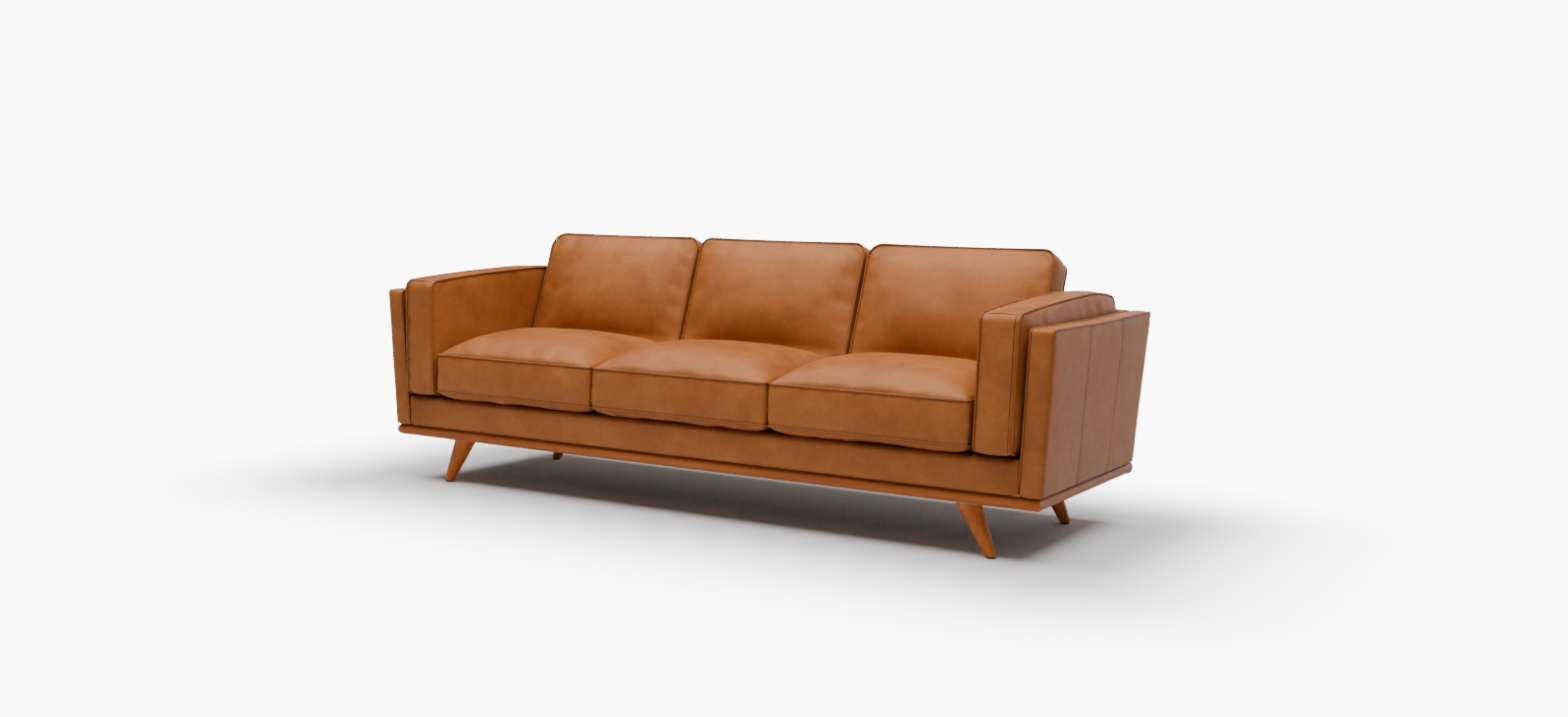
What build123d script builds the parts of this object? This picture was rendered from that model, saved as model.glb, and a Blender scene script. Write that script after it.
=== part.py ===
from build123d import *
import os
from math import cos, radians, sin, tan

os.makedirs("parts", exist_ok=True)

# Three-seat sofa. Millimetres, +Z up, front towards -Y, origin on the floor under the middle.

# ---- Driving sizes: the base ----
PLINTH_HALF_LENGTH = 1106
PLINTH_HALF_DEPTH = 390
PLINTH_BOTTOM = 152
PLINTH_THICKNESS = 36
PLINTH_FRONT_WIDTH = 110
PLINTH_REAR_WIDTH = 150
PLINTH_SIDE_WIDTH = 80
STRETCHER_WIDTH = 60
STRETCHER_COUNT = 3
STRETCHER_DROP = 3  # stretchers under the top of the plinth
LEG_END_INSET = 231  # middle of a leg's top inside the end of the plinth
LEG_FRONT_INSET = 75  # and inside its front
LEG_REAR_INSET = 120  # and inside its rear
LEG_SPLAY = 72  # how far each foot stands outside its leg's top
LEG_TOP_RADIUS = 36
LEG_FOOT_RADIUS = 16
GLIDE_HEIGHT = 5
GLIDE_RADIUS = 12
PLATE_SIZE = 90
PLATE_THICKNESS = 3
PLATE_SCREW_SPACING = 74
PLATE_SCREW_RADIUS = 2
PLATE_SCREW_LENGTH = 16
BOLT_RADIUS = 4
BOLT_RISE = 24  # bolt above the plate
BOLT_DEPTH = 40  # bolt inside the leg

# ---- Driving sizes: the body ----
END_OVERHANG = 4  # outer arms past the ends of the plinth
FRONT_OVERHANG = 6  # arm fronts past the front of the plinth
REAR_STEP = 10  # outer back inside the rear of the plinth
ARM_LEAN = 20  # how far each outer arm leans out over its height
FRONT_LEAN = 18  # how far the arm fronts lean forwards
REAR_LEAN = 45  # how far the outer back leans back
BODY_TOP_FRONT = 629  # height of the arm tops at the front
BODY_TOP_RISE = 9  # how much higher they are at the back
WALL = 63  # thickness of the arms and back
WALL_PADDING = 11  # leather and padding over the frame inside the walls
REAR_CORNER_RADIUS = 28
TOP_EDGE_RADIUS = 9

# ---- Driving sizes: the seat frame ----
BOARD = 28  # thickness of the frame boards
RAIL_HEIGHT = 80
TIE_WIDTH = 45
TIE_COUNT = 2
CORNER_BLOCK_LEG = 70
FRONT_COVER_THICKNESS = 12
FRONT_FLAP_DEPTH = 40
DECK_RISE = 8  # space for the springs over the rails
DECK_THICKNESS = 10
DUST_COVER_THICKNESS = 1.2
DUST_COVER_MARGIN = 12
SPRINGS_PER_SEAT = 4
SPRING_WIRE_RADIUS = 1.9
SPRING_HALF_WIDTH = 22
SPRING_BENDS = 14
CLIP_WIDTH = 16
CLIP_DEPTH = 14
FRAME_SCREW_RADIUS = 2.5
FRAME_SCREW_HEAD_RADIUS = 5
FRAME_SCREW_HEAD_HEIGHT = 3
FRAME_SCREW_BITE = 40
FRAME_SCREW_COUNT = 5
ARM_BOLT_RADIUS = 4
ARM_BOLT_HEAD_RADIUS = 8
ARM_BOLT_HEAD_HEIGHT = 5
ARM_BOLT_BITE = 30
ARM_BOLT_RISE = 32  # arm bolts above the bottom of the body
POST_WIDTH = 60
WEBBING_WIDTH = 50
WEBBING_THICKNESS = 2
WEBBING_COUNT = 9

# ---- Driving sizes: the arm pads and the inside back ----
ARM_PAD_WIDTH = 121  # from the foot of the wall to the pad's inner face
ARM_PAD_OVERHANG = 8  # pad past the front of the arm
ARM_PAD_END_RISE = 23  # ends of the pad over the arm's front top
ARM_PAD_CREST_RISE = 63
ARM_PAD_CREST_BACK = 300  # crest inside the rear of the plinth
ARM_PAD_EDGE_RADIUS = 8
ARM_PAD_CORNER_RADIUS = 26
INSIDE_BACK_DEPTH = 145  # padding in front of the back's inner face, at the bottom
INSIDE_BACK_SLOPE = 24  # how far the padding leans back up to the back cushions
INSIDE_BACK_DROP = 8  # top of the inside back under the top of the back

# ---- Driving sizes: the loose cushions ----
SEAT_COUNT = 3
SEAT_SIDE_GAP = 12  # from an arm pad to the nearest seat cushion
SEAT_OVERHANG = 10.5  # seat cushions past the arm fronts
SEAT_REAR_GAP = 8  # from the seat cushions to the inside back
SEAT_SIDE_RISE = 144  # top welt over the deck
SEAT_CROWN = 85  # crest over the top welt
SEAT_REAR_RISE = 14  # seat under the back cushions over the top welt
SEAT_CREST_FRONT_SHARE = 0.5
BACK_LEAN = 20
BACK_THICKNESS = 116
BACK_CROWN = 26
BACK_HEIGHT = 368  # top edge over the seat
BACK_TOP_SET = 1  # front top edge behind the foot of the inside back's knee
BACK_CORNER_RADIUS = 62
DOME_SHOULDER = 0.7  # height of the dome's shoulder as a share of the crown
DOME_SHOULDER_INSET = 50
DOME_TOP_INSET = 110
COVER = 3  # leather and wrap round a cushion's core
ZIP_WIDTH = 26
ZIP_THICKNESS = 2
ZIP_SHARE = 0.7  # zip's length as a share of its cushion's width
ZIP_SEAT = 1  # leather left under a zip

# ---- Clearances ----
FIT = 0.1  # round a fastener in its hole
CORE_CLEARANCE = 0.5
CUSHION_GAP = 3  # between neighbouring cushions
REST_GAP = 0.5  # under a loose cushion
WALL_GAP = 2  # between a wall and what stands beside it
FRAME_GAP = 0.5  # round the frame inside the walls

# ---- Heights and places that follow ----
LEG_TOP_X = PLINTH_HALF_LENGTH - LEG_END_INSET
LEG_FRONT_Y = LEG_FRONT_INSET - PLINTH_HALF_DEPTH
LEG_REAR_Y = PLINTH_HALF_DEPTH - LEG_REAR_INSET
BODY_BOTTOM = PLINTH_BOTTOM + PLINTH_THICKNESS
BODY_HALF_LENGTH = PLINTH_HALF_LENGTH + END_OVERHANG
BODY_TOP_HALF_LENGTH = BODY_HALF_LENGTH + ARM_LEAN
FRONT_BOTTOM = -PLINTH_HALF_DEPTH - FRONT_OVERHANG
FRONT_TOP = FRONT_BOTTOM - FRONT_LEAN
BACK_BOTTOM = PLINTH_HALF_DEPTH - REAR_STEP
BACK_TOP = BACK_BOTTOM + REAR_LEAN
BODY_TOP_BACK = BODY_TOP_FRONT + BODY_TOP_RISE
RAIL_TOP = BODY_BOTTOM + RAIL_HEIGHT
DECK_BOTTOM = RAIL_TOP + DECK_RISE
DECK_TOP = DECK_BOTTOM + DECK_THICKNESS
ARM_PAD_INNER_X = BODY_HALF_LENGTH - WALL - ARM_PAD_WIDTH
ARM_PAD_FRONT = FRONT_TOP - ARM_PAD_OVERHANG
ARM_PAD_FRONT_TOP = ARM_PAD_REAR_TOP = BODY_TOP_FRONT + ARM_PAD_END_RISE
ARM_PAD_CREST = BODY_TOP_FRONT + ARM_PAD_CREST_RISE
ARM_PAD_CREST_Y = PLINTH_HALF_DEPTH - ARM_PAD_CREST_BACK
INSIDE_BACK_BOTTOM_Y = BACK_BOTTOM - WALL - INSIDE_BACK_DEPTH
INSIDE_BACK_KNEE_Y = INSIDE_BACK_BOTTOM_Y + INSIDE_BACK_SLOPE
SEAT_HALF_LENGTH = ARM_PAD_INNER_X - SEAT_SIDE_GAP
SEAT_FRONT = FRONT_TOP - SEAT_OVERHANG
SEAT_REAR = INSIDE_BACK_BOTTOM_Y - SEAT_REAR_GAP
SEAT_SIDE_TOP = DECK_TOP + SEAT_SIDE_RISE
SEAT_CREST = SEAT_SIDE_TOP + SEAT_CROWN
SEAT_UNDER_BACK = SEAT_SIDE_TOP + SEAT_REAR_RISE
BACK_TOP_Y = INSIDE_BACK_KNEE_Y + BACK_TOP_SET
BACK_TOP_Z = SEAT_UNDER_BACK + BACK_HEIGHT
ZIP_LENGTH = ZIP_SHARE * 2 * SEAT_HALF_LENGTH / SEAT_COUNT
BODY_TOP_MEAN = (BODY_TOP_FRONT + BODY_TOP_BACK) / 2
SIDES = {"left": -1, "right": 1}
REACH = 2000  # longer than anything it cuts


def between(bottom, top, z):
    """Where a leaning face is at height z."""
    return bottom + (top - bottom) * (z - BODY_BOTTOM) / (BODY_TOP_MEAN - BODY_BOTTOM)


def outer_x(z):
    return between(BODY_HALF_LENGTH, BODY_TOP_HALF_LENGTH, z)


def inner_x(z):
    return outer_x(z) - WALL


def front_y(z):
    return between(FRONT_BOTTOM, FRONT_TOP, z)


def outer_y(z):
    return between(BACK_BOTTOM, BACK_TOP, z)


def inner_y(z):
    return outer_y(z) - WALL


def board(x, y, z):
    """A straight board between the given pairs of limits."""
    size = [pair[1] - pair[0] for pair in (x, y, z)]
    centre = [(pair[1] + pair[0]) / 2 for pair in (x, y, z)]
    return Pos(*centre) * Box(*size)


def leaning_block(limits, z_low, z_high, corner=0):
    """A block whose four sides lean. limits(z) gives x low, x high, y low and y high."""
    faces = []
    for z in (z_low, z_high):
        x_low, x_high, y_low, y_high = limits(z)
        plan = Pos((x_low + x_high) / 2, (y_low + y_high) / 2) * Rectangle(
            x_high - x_low, y_high - y_low
        )
        if corner:
            outward = 1 if x_high > 0 else -1
            rear = plan.vertices().sort_by(Axis.Y)[-2:].sort_by(Axis.X)
            plan = fillet(rear[-1] if outward > 0 else rear[0], corner)
        faces.append(Pos(0, 0, z) * plan)
    return loft(faces, ruled=True)


def above_body_top():
    """Everything over the gently rising top of the arms and back."""
    rise = (BODY_TOP_BACK - BODY_TOP_FRONT) / (BACK_TOP - FRONT_TOP)
    low = BODY_TOP_FRONT - rise * (REACH + FRONT_TOP)
    high = BODY_TOP_FRONT + rise * (REACH - FRONT_TOP)
    side = Polyline((-REACH, low), (REACH, high), (REACH, REACH), (-REACH, REACH), close=True)
    return extrude(Plane.YZ * make_face(side), REACH, both=True)


def group(pieces):
    """Separate solids kept in one node."""
    return Compound(children=[solid for piece in pieces for solid in piece.solids()])


def rod(start, end, radius):
    """A round bar between two points."""
    start, end = Vector(*start), Vector(*end)
    return extrude(Plane(start, z_dir=end - start) * Circle(radius), (end - start).length)


def spread(low, high, count):
    """Evenly spaced places with half a space at each end."""
    step = (high - low) / count
    return [low + step * (i + 0.5) for i in range(count)]


# ---- The wooden base ----


def plinth_profile(depth):
    """A rail's section, square inside and half round outside, with its nose at 0."""
    nose = PLINTH_THICKNESS / 2
    outline = Polyline((nose, nose), (depth, nose), (depth, -nose), (nose, -nose))
    return make_face(outline + RadiusArc((nose, -nose), (nose, nose), nose))


def plinth_rail(plan, place, depth):
    """A rail extruded along its plan's outer edge and mitred by the plan's slanting ends."""
    bar = extrude(place * plinth_profile(depth), REACH, both=True)
    prism = extrude(Pos(0, 0, PLINTH_BOTTOM) * make_face(Polyline(*plan, close=True)), PLINTH_THICKNESS)
    return bar & prism


def plinth():
    """Four mitred rails with stretchers from front to back."""
    a, d = PLINTH_HALF_LENGTH, PLINTH_HALF_DEPTH
    middle = PLINTH_BOTTOM + PLINTH_THICKNESS / 2
    inner = a - PLINTH_SIDE_WIDTH
    front, rear = -d + PLINTH_FRONT_WIDTH, d - PLINTH_REAR_WIDTH
    made = {}
    made["plinth_front_rail"] = plinth_rail(
        [(-a, -d), (a, -d), (inner, front), (-inner, front)],
        Plane((0, -d, middle), x_dir=(0, 1, 0), z_dir=(1, 0, 0)),
        PLINTH_FRONT_WIDTH,
    )
    made["plinth_rear_rail"] = plinth_rail(
        [(-a, d), (a, d), (inner, rear), (-inner, rear)],
        Plane((0, d, middle), x_dir=(0, -1, 0), z_dir=(1, 0, 0)),
        PLINTH_REAR_WIDTH,
    )
    for side, s in SIDES.items():
        made[f"plinth_{side}_rail"] = plinth_rail(
            [(s * a, -d), (s * a, d), (s * inner, rear), (s * inner, front)],
            Plane((s * a, 0, middle), x_dir=(-s, 0, 0), z_dir=(0, 1, 0)),
            PLINTH_SIDE_WIDTH,
        )
    half = STRETCHER_WIDTH / 2
    top = BODY_BOTTOM - STRETCHER_DROP
    bars = [
        board((x - half, x + half), (front, rear), (PLINTH_BOTTOM, top))
        for x in spread(-inner, inner, STRETCHER_COUNT)
    ]
    made["plinth_stretchers"] = group(bars)
    return made


def leg_places():
    """Name, side and depth of each leg."""
    return [
        (f"{place}_{side}", s, y)
        for place, y in (("front", LEG_FRONT_Y), ("rear", LEG_REAR_Y))
        for side, s in SIDES.items()
    ]


def legs(made):
    """Tapered splayed legs with their plates, hanger bolts, screws and glides."""
    leg_top = PLINTH_BOTTOM - PLATE_THICKNESS
    plates, screws, bolts, glides = [], [], [], []
    for name, s, y in leg_places():
        foot_x = s * (LEG_TOP_X + LEG_SPLAY)
        foot = Pos(foot_x, y, GLIDE_HEIGHT) * Circle(LEG_FOOT_RADIUS)
        head = Pos(s * LEG_TOP_X, y, leg_top) * Circle(LEG_TOP_RADIUS)
        axis = Vector(s * LEG_TOP_X - foot_x, 0, leg_top - GLIDE_HEIGHT).normalized()
        top = Vector(s * LEG_TOP_X, y, leg_top)
        # Down the leg's own axis, then straight up through the plate into the plinth.
        low = top - axis * BOLT_DEPTH
        shank = rod(low, top + axis * 2, BOLT_RADIUS)
        shank = shank & board((-REACH, REACH), (-REACH, REACH), (0, leg_top))
        upper = rod(top, top + Vector(0, 0, PLATE_THICKNESS + BOLT_RISE), BOLT_RADIUS)
        bolts.append(shank + upper)
        bore = rod(low - axis * FIT, top + axis * 4, BOLT_RADIUS + FIT)
        made[f"leg_{name}"] = loft([foot, head]) - bore
        socket = rod(top, top + Vector(0, 0, PLATE_THICKNESS + BOLT_RISE + FIT), BOLT_RADIUS + FIT)
        rail = "plinth_front_rail" if y < 0 else "plinth_rear_rail"
        made[rail] -= socket
        plate = Pos(s * LEG_TOP_X, y, PLINTH_BOTTOM - PLATE_THICKNESS / 2) * Box(
            PLATE_SIZE, PLATE_SIZE, PLATE_THICKNESS
        )
        plate = fillet(plate.edges().filter_by(Axis.Z), PLATE_THICKNESS * 2) - socket
        for dx in (-PLATE_SCREW_SPACING / 2, PLATE_SCREW_SPACING / 2):
            for dy in (-PLATE_SCREW_SPACING / 2, PLATE_SCREW_SPACING / 2):
                start = Vector(s * LEG_TOP_X + dx, y + dy, leg_top)
                rise = Vector(0, 0, PLATE_SCREW_LENGTH)
                screws.append(rod(start, start + rise, PLATE_SCREW_RADIUS))
                hole = rod(start, start + rise + Vector(0, 0, FIT), PLATE_SCREW_RADIUS + FIT)
                plate -= hole
                made[rail] -= hole
        plates.append(plate)
        glides.append(rod((foot_x, y, 0), (foot_x, y, GLIDE_HEIGHT), GLIDE_RADIUS))
    made["leg_plates"] = group(plates)
    made["leg_plate_screws"] = group(screws)
    made["leg_hanger_bolts"] = group(bolts)
    made["leg_glides"] = group(glides)


# ---- The seat frame ----


def tie_places(half):
    """Where the seat frame's ties stand, under the joints between the seat cushions."""
    width = 2 * half / (TIE_COUNT + 1)
    return [-half + width * (i + 1) for i in range(TIE_COUNT)]


def seat_frame(made):
    """Rails, ties, corner blocks, springs with their clips, deck, front cover and dust cover."""
    front = front_y(BODY_BOTTOM) + FRONT_COVER_THICKNESS + FRAME_GAP
    rear = inner_y(BODY_BOTTOM) - WALL_GAP
    half = inner_x(BODY_BOTTOM) - WALL_GAP
    z = (BODY_BOTTOM, RAIL_TOP)
    inner = half - BOARD
    made["seat_front_rail"] = board((-half, half), (front, front + BOARD), z)
    made["seat_rear_rail"] = board((-half, half), (rear - BOARD, rear), z)
    for side, s in SIDES.items():
        x = sorted((s * inner, s * half))
        made[f"seat_{side}_rail"] = board(x, (front + BOARD, rear - BOARD), z)
    span = (front + BOARD, rear - BOARD)
    tie_z = (BODY_BOTTOM, BODY_BOTTOM + TIE_WIDTH)
    ties = [board((x - BOARD / 2, x + BOARD / 2), span, tie_z) for x in tie_places(half)]
    made["seat_centre_ties"] = group(ties)
    blocks = []
    for s in (-1, 1):
        for y, inward in ((front + BOARD, 1), (rear - BOARD, -1)):
            along = (s * (inner - CORNER_BLOCK_LEG), y)
            across = (s * inner, y + inward * CORNER_BLOCK_LEG)
            wedge = make_face(Polyline((s * inner, y), along, across, close=True))
            blocks.append(extrude(Pos(0, 0, BODY_BOTTOM) * wedge, TIE_WIDTH, dir=(0, 0, 1)))
    made["corner_blocks"] = group(blocks)
    springs(made, front, rear, half)
    deck_front = front_y(BODY_BOTTOM) + FRONT_FLAP_DEPTH
    made["seat_deck"] = board((-half, half), (deck_front, rear), (DECK_BOTTOM, DECK_TOP))
    lower = made["plinth_front_rail"].bounding_box().max.Y
    upper = made["plinth_rear_rail"].bounding_box().min.Y
    side = PLINTH_HALF_LENGTH - PLINTH_SIDE_WIDTH
    made["dust_cover"] = board(
        (-side + DUST_COVER_MARGIN, side - DUST_COVER_MARGIN),
        (lower + DUST_COVER_MARGIN, upper - DUST_COVER_MARGIN),
        (BODY_BOTTOM - DUST_COVER_THICKNESS, BODY_BOTTOM),
    )
    front_cover(made)
    frame_screws(made, front, rear)


def springs(made, front, rear, half):
    """Sinuous springs between clips on the front and rear rails."""
    z = RAIL_TOP + DECK_RISE / 2
    start, end = front + BOARD / 2, rear - BOARD / 2
    pitch = (end - start) / SPRING_BENDS
    points = [(0, start)]
    for i in range(SPRING_BENDS):
        swing = SPRING_HALF_WIDTH if i % 2 else -SPRING_HALF_WIDTH
        points += [(swing, start + pitch * (i + 0.25)), (swing, start + pitch * (i + 0.75))]
    points.append((0, end))
    path = Pos(0, 0, z) * FilletPolyline(*points, radius=pitch * 0.22)
    wire = sweep(Plane(path @ 0, z_dir=path % 0) * Circle(SPRING_WIRE_RADIUS), path=path)
    places = spread(-half + BOARD, half - BOARD, SEAT_COUNT * SPRINGS_PER_SEAT)
    made["seat_springs"] = group([Pos(x, 0, 0) * wire for x in places])
    clips = []
    for x in places:
        for y in (start, end):
            clip = board(
                (x - CLIP_WIDTH / 2, x + CLIP_WIDTH / 2),
                (y - CLIP_DEPTH / 2, y + CLIP_DEPTH / 2),
                (RAIL_TOP, z + SPRING_WIRE_RADIUS + 1),
            )
            clips.append(clip - Pos(x, 0, 0) * wire)
    made["spring_clips"] = group([max(clip.solids(), key=lambda s: s.volume) for clip in clips])


def front_cover(made):
    """Padded leather over the front rail, flush with the arm fronts, with a flap over the rail."""

    def face(z):
        half = inner_x(BODY_BOTTOM) - FRAME_GAP
        return -half, half, front_y(z), front_y(z) + FRONT_COVER_THICKNESS

    panel = leaning_block(face, BODY_BOTTOM, DECK_TOP)
    half = face(BODY_BOTTOM)[1]
    flap = board(
        (-half, half),
        (front_y(DECK_TOP) + FRONT_COVER_THICKNESS / 2, front_y(BODY_BOTTOM) + FRONT_FLAP_DEPTH),
        (DECK_BOTTOM, DECK_TOP),
    )
    cover = panel + flap
    edge = cover.edges().filter_by(Axis.X).sort_by(Axis.Z)[-2:].sort_by(Axis.Y)[0]
    made["front_rail_cover"] = fillet(edge, TOP_EDGE_RADIUS)


def frame_screws(made, front, rear):
    """Countersunk screws up through the plinth into the seat frame's front and rear rails."""
    screws = []
    targets = (("front", front + BOARD / 2), ("rear", rear - BOARD / 2))
    for place, y in targets:
        for x in spread(-LEG_TOP_X, LEG_TOP_X, FRAME_SCREW_COUNT):
            low, seat = Vector(x, y, PLINTH_BOTTOM), Vector(0, 0, FRAME_SCREW_HEAD_HEIGHT)
            tip = Vector(x, y, BODY_BOTTOM + FRAME_SCREW_BITE)
            shank = rod(low + seat, tip, FRAME_SCREW_RADIUS)
            screws.append(rod(low, low + seat, FRAME_SCREW_HEAD_RADIUS) + shank)
            hole = rod(low, low + seat + Vector(0, 0, FIT), FRAME_SCREW_HEAD_RADIUS + FIT)
            hole += rod(low, tip + Vector(0, 0, FIT), FRAME_SCREW_RADIUS + FIT)
            made[f"plinth_{place}_rail"] -= hole
            made[f"seat_{place}_rail"] -= hole
    made["frame_screws"] = group(screws)


# ---- The walls: arms and back ----


def side_limits(s, inset=0.0, front_inset=0.0):
    """Plan limits of an arm wall at each height, shrunk by the insets."""

    def limits(z):
        x = sorted((s * (inner_x(z) + inset), s * (outer_x(z) - inset)))
        return *x, front_y(z) + front_inset, outer_y(z) - front_inset

    return limits


def back_limits(inset=0.0, side_inset=0.0):
    """Plan limits of the back wall, which stands between the arm walls."""

    def limits(z):
        half = inner_x(z) - side_inset
        return -half, half, inner_y(z) + inset, outer_y(z) - inset

    return limits


def arm_frame(s):
    """Front post, rear post, top rail and bottom rail inside an arm wall."""
    inset = WALL_PADDING + FRAME_GAP
    top = BODY_TOP_FRONT - WALL_PADDING - TOP_EDGE_RADIUS

    def front_post(z):
        x_low, x_high, y_low, y_high = side_limits(s, inset, inset)(z)
        return x_low, x_high, y_low, y_low + POST_WIDTH

    def rear_post(z):
        x_low, x_high, y_low, y_high = side_limits(s, inset, inset)(z)
        return x_low, x_high, y_high - POST_WIDTH, y_high

    def rail(z):
        x_low, x_high, y_low, y_high = side_limits(s, inset, inset)(z)
        return x_low, x_high, y_low + POST_WIDTH, y_high - POST_WIDTH

    return [
        leaning_block(front_post, BODY_BOTTOM, top),
        leaning_block(rear_post, BODY_BOTTOM, top),
        leaning_block(rail, BODY_BOTTOM, BODY_BOTTOM + POST_WIDTH),
        leaning_block(rail, top - POST_WIDTH, top),
    ]


def back_frame_pieces():
    """End posts, a middle post and two rails inside the back wall."""
    inset = WALL_PADDING + FRAME_GAP
    top = BODY_TOP_FRONT - WALL_PADDING - TOP_EDGE_RADIUS
    low_z, high_z = BODY_BOTTOM + POST_WIDTH, top - POST_WIDTH

    def across(z):
        return back_limits(inset, inset)(z)

    def post(centre_share):
        def at(z):
            x_low, x_high, y_low, y_high = across(z)
            centre = centre_share * (x_high - POST_WIDTH / 2)
            return centre - POST_WIDTH / 2, centre + POST_WIDTH / 2, y_low, y_high

        return leaning_block(at, low_z, high_z)

    return [
        leaning_block(across, BODY_BOTTOM, low_z),
        leaning_block(across, high_z, top),
        *[post(share) for share in (-1, 0, 1)],
    ]


def back_webbing():
    """Straps up the front of the back frame, tacked to its rails."""
    depth = WALL_PADDING - WEBBING_THICKNESS
    top = BODY_TOP_FRONT - WALL_PADDING - TOP_EDGE_RADIUS
    half = inner_x(BODY_BOTTOM) - WALL_PADDING - POST_WIDTH
    straps = []
    for x in spread(-half, half, WEBBING_COUNT):

        def at(z, x=x):
            y = inner_y(z) + depth
            return x - WEBBING_WIDTH / 2, x + WEBBING_WIDTH / 2, y, y + WEBBING_THICKNESS

        straps.append(leaning_block(at, BODY_BOTTOM + FRAME_GAP, top))
    return straps


def walls(made):
    """Hollow leather walls with their wooden frames inside."""
    high = BODY_TOP_BACK + TOP_EDGE_RADIUS
    over = above_body_top()
    bottom = BODY_BOTTOM - REST_GAP
    cavity_top = BODY_TOP_FRONT - WALL_PADDING - TOP_EDGE_RADIUS + FRAME_GAP
    arms = []
    for side, s in SIDES.items():
        wall = leaning_block(side_limits(s), BODY_BOTTOM, high, REAR_CORNER_RADIUS) - over
        arms.append(wall)
        top_edges = wall.faces().sort_by(Axis.Z)[-1].edges()
        wall = fillet(top_edges, TOP_EDGE_RADIUS)
        hollow = leaning_block(side_limits(s, WALL_PADDING, WALL_PADDING), bottom, cavity_top)
        made[f"outer_arm_{side}"] = wall - hollow
        made[f"arm_frame_{side}"] = group(arm_frame(s))
    back = leaning_block(back_limits(side_inset=-FRAME_GAP), BODY_BOTTOM, high) - over
    for arm in arms:
        back -= arm
    edges = back.faces().sort_by(Axis.Z)[-1].edges().sort_by(Axis.Y)
    back = fillet([edges[0], edges[-1]], TOP_EDGE_RADIUS)
    hollow = leaning_block(
        back_limits(WALL_PADDING - WEBBING_THICKNESS, WALL_PADDING), bottom, cavity_top
    )
    made["outer_back"] = back - hollow
    made["back_frame"] = group(back_frame_pieces())
    made["back_webbing"] = group(back_webbing())
    arm_bolts(made)


def arm_bolts(made):
    """Bolts from inside the seat frame through each arm wall into the arm frame."""
    bolts = []
    rail = made["seat_left_rail"].bounding_box()
    z = BODY_BOTTOM + ARM_BOLT_RISE
    for side, s in SIDES.items():
        head_x = inner_x(BODY_BOTTOM) - WALL_GAP - BOARD
        tip_x = inner_x(z) + WALL_PADDING + ARM_BOLT_BITE
        for y in spread(rail.min.Y, rail.max.Y, 2):
            head = Vector(s * (head_x - ARM_BOLT_HEAD_HEIGHT), y, z)
            under, tip = Vector(s * head_x, y, z), Vector(s * tip_x, y, z)
            bolts.append(rod(head, under, ARM_BOLT_HEAD_RADIUS) + rod(under, tip, ARM_BOLT_RADIUS))
            hole = rod(under, tip + Vector(s * FIT, 0, 0), ARM_BOLT_RADIUS + FIT)
            for node in (f"seat_{side}_rail", f"outer_arm_{side}", f"arm_frame_{side}"):
                solids = [solid - hole for solid in made[node].solids()]
                made[node] = group(solids) if len(solids) > 1 else solids[0]
    made["arm_bolts"] = group(bolts)


# ---- The padded inner arms and the inside back ----


def arm_pad(s, inset):
    """The pad inside an arm: a flat box with a gently crowned top, drawn in by inset."""
    low, front = DECK_TOP + inset, ARM_PAD_FRONT + inset
    rear_low = inner_y(DECK_TOP) - WALL_GAP - inset
    rear_top = inner_y(ARM_PAD_REAR_TOP) - WALL_GAP - inset
    front_top, rear_high = ARM_PAD_FRONT_TOP - inset, ARM_PAD_REAR_TOP - inset
    outline = Polyline((front, front_top), (front, low), (rear_low, low), (rear_top, rear_high))
    crown = ThreePointArc(
        (rear_top, rear_high), (ARM_PAD_CREST_Y, ARM_PAD_CREST - inset), (front, front_top)
    )
    x = sorted((s * (ARM_PAD_INNER_X + inset), s * (inner_x(DECK_TOP) - WALL_GAP * 2 - inset)))
    inner_face = Plane((x[0], 0, 0), x_dir=(0, 1, 0), z_dir=(1, 0, 0))
    pad = extrude(inner_face * make_face(outline + crown), x[1] - x[0])
    across = pad.edges().filter_by(Axis.X).group_by(Axis.Z)[-1]
    pad = fillet(across, ARM_PAD_CORNER_RADIUS - inset)
    ends = pad.faces().sort_by(Axis.X)
    return fillet(ends[0].edges() + ends[-1].edges(), ARM_PAD_EDGE_RADIUS - inset)


def inside_back(inset):
    """The padded slope behind the back cushions."""
    knee = SEAT_UNDER_BACK
    top = BODY_TOP_FRONT - INSIDE_BACK_DROP
    top_y = INSIDE_BACK_KNEE_Y + (top - knee) * tan(radians(BACK_LEAN))
    points = [
        (INSIDE_BACK_BOTTOM_Y + inset, DECK_TOP + inset),
        (INSIDE_BACK_KNEE_Y + inset, knee),
        (top_y + inset, top - inset),
        (inner_y(top) - WALL_GAP - inset, top - inset),
        (inner_y(DECK_TOP) - WALL_GAP - inset, DECK_TOP + inset),
    ]
    half = ARM_PAD_INNER_X - WALL_GAP - inset
    face = Plane((-half, 0, 0), x_dir=(0, 1, 0), z_dir=(1, 0, 0)) * make_face(Polyline(*points, close=True))
    return extrude(face, half * 2)


def padded_inner(made):
    """Leather covers and foam cores of the arm pads and the inside back."""
    for side, s in SIDES.items():
        made[f"arm_pad_cover_{side}"] = arm_pad(s, 0) - arm_pad(s, COVER)
        made[f"arm_pad_core_{side}"] = arm_pad(s, COVER + CORE_CLEARANCE)
    made["inside_back_cover"] = inside_back(0) - inside_back(COVER)
    made["inside_back_foam"] = inside_back(COVER + CORE_CLEARANCE)


# ---- The loose cushions ----


def cushion_spans():
    """Name and x limits of each of the cushions in a row."""
    width = 2 * SEAT_HALF_LENGTH / SEAT_COUNT
    edges = [-SEAT_HALF_LENGTH + width * i for i in range(SEAT_COUNT + 1)]
    names = ("left", "centre", "right")
    half_gap = CUSHION_GAP / 2
    return [(n, lo + half_gap, hi - half_gap) for n, lo, hi in zip(names, edges, edges[1:])]


def crowned_prism(across, along, place):
    """What a cushion's two outlines share, one drawn across it and one along it."""
    return extrude(place[0] * across, REACH, both=True) & extrude(place[1] * along, REACH, both=True)


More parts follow.
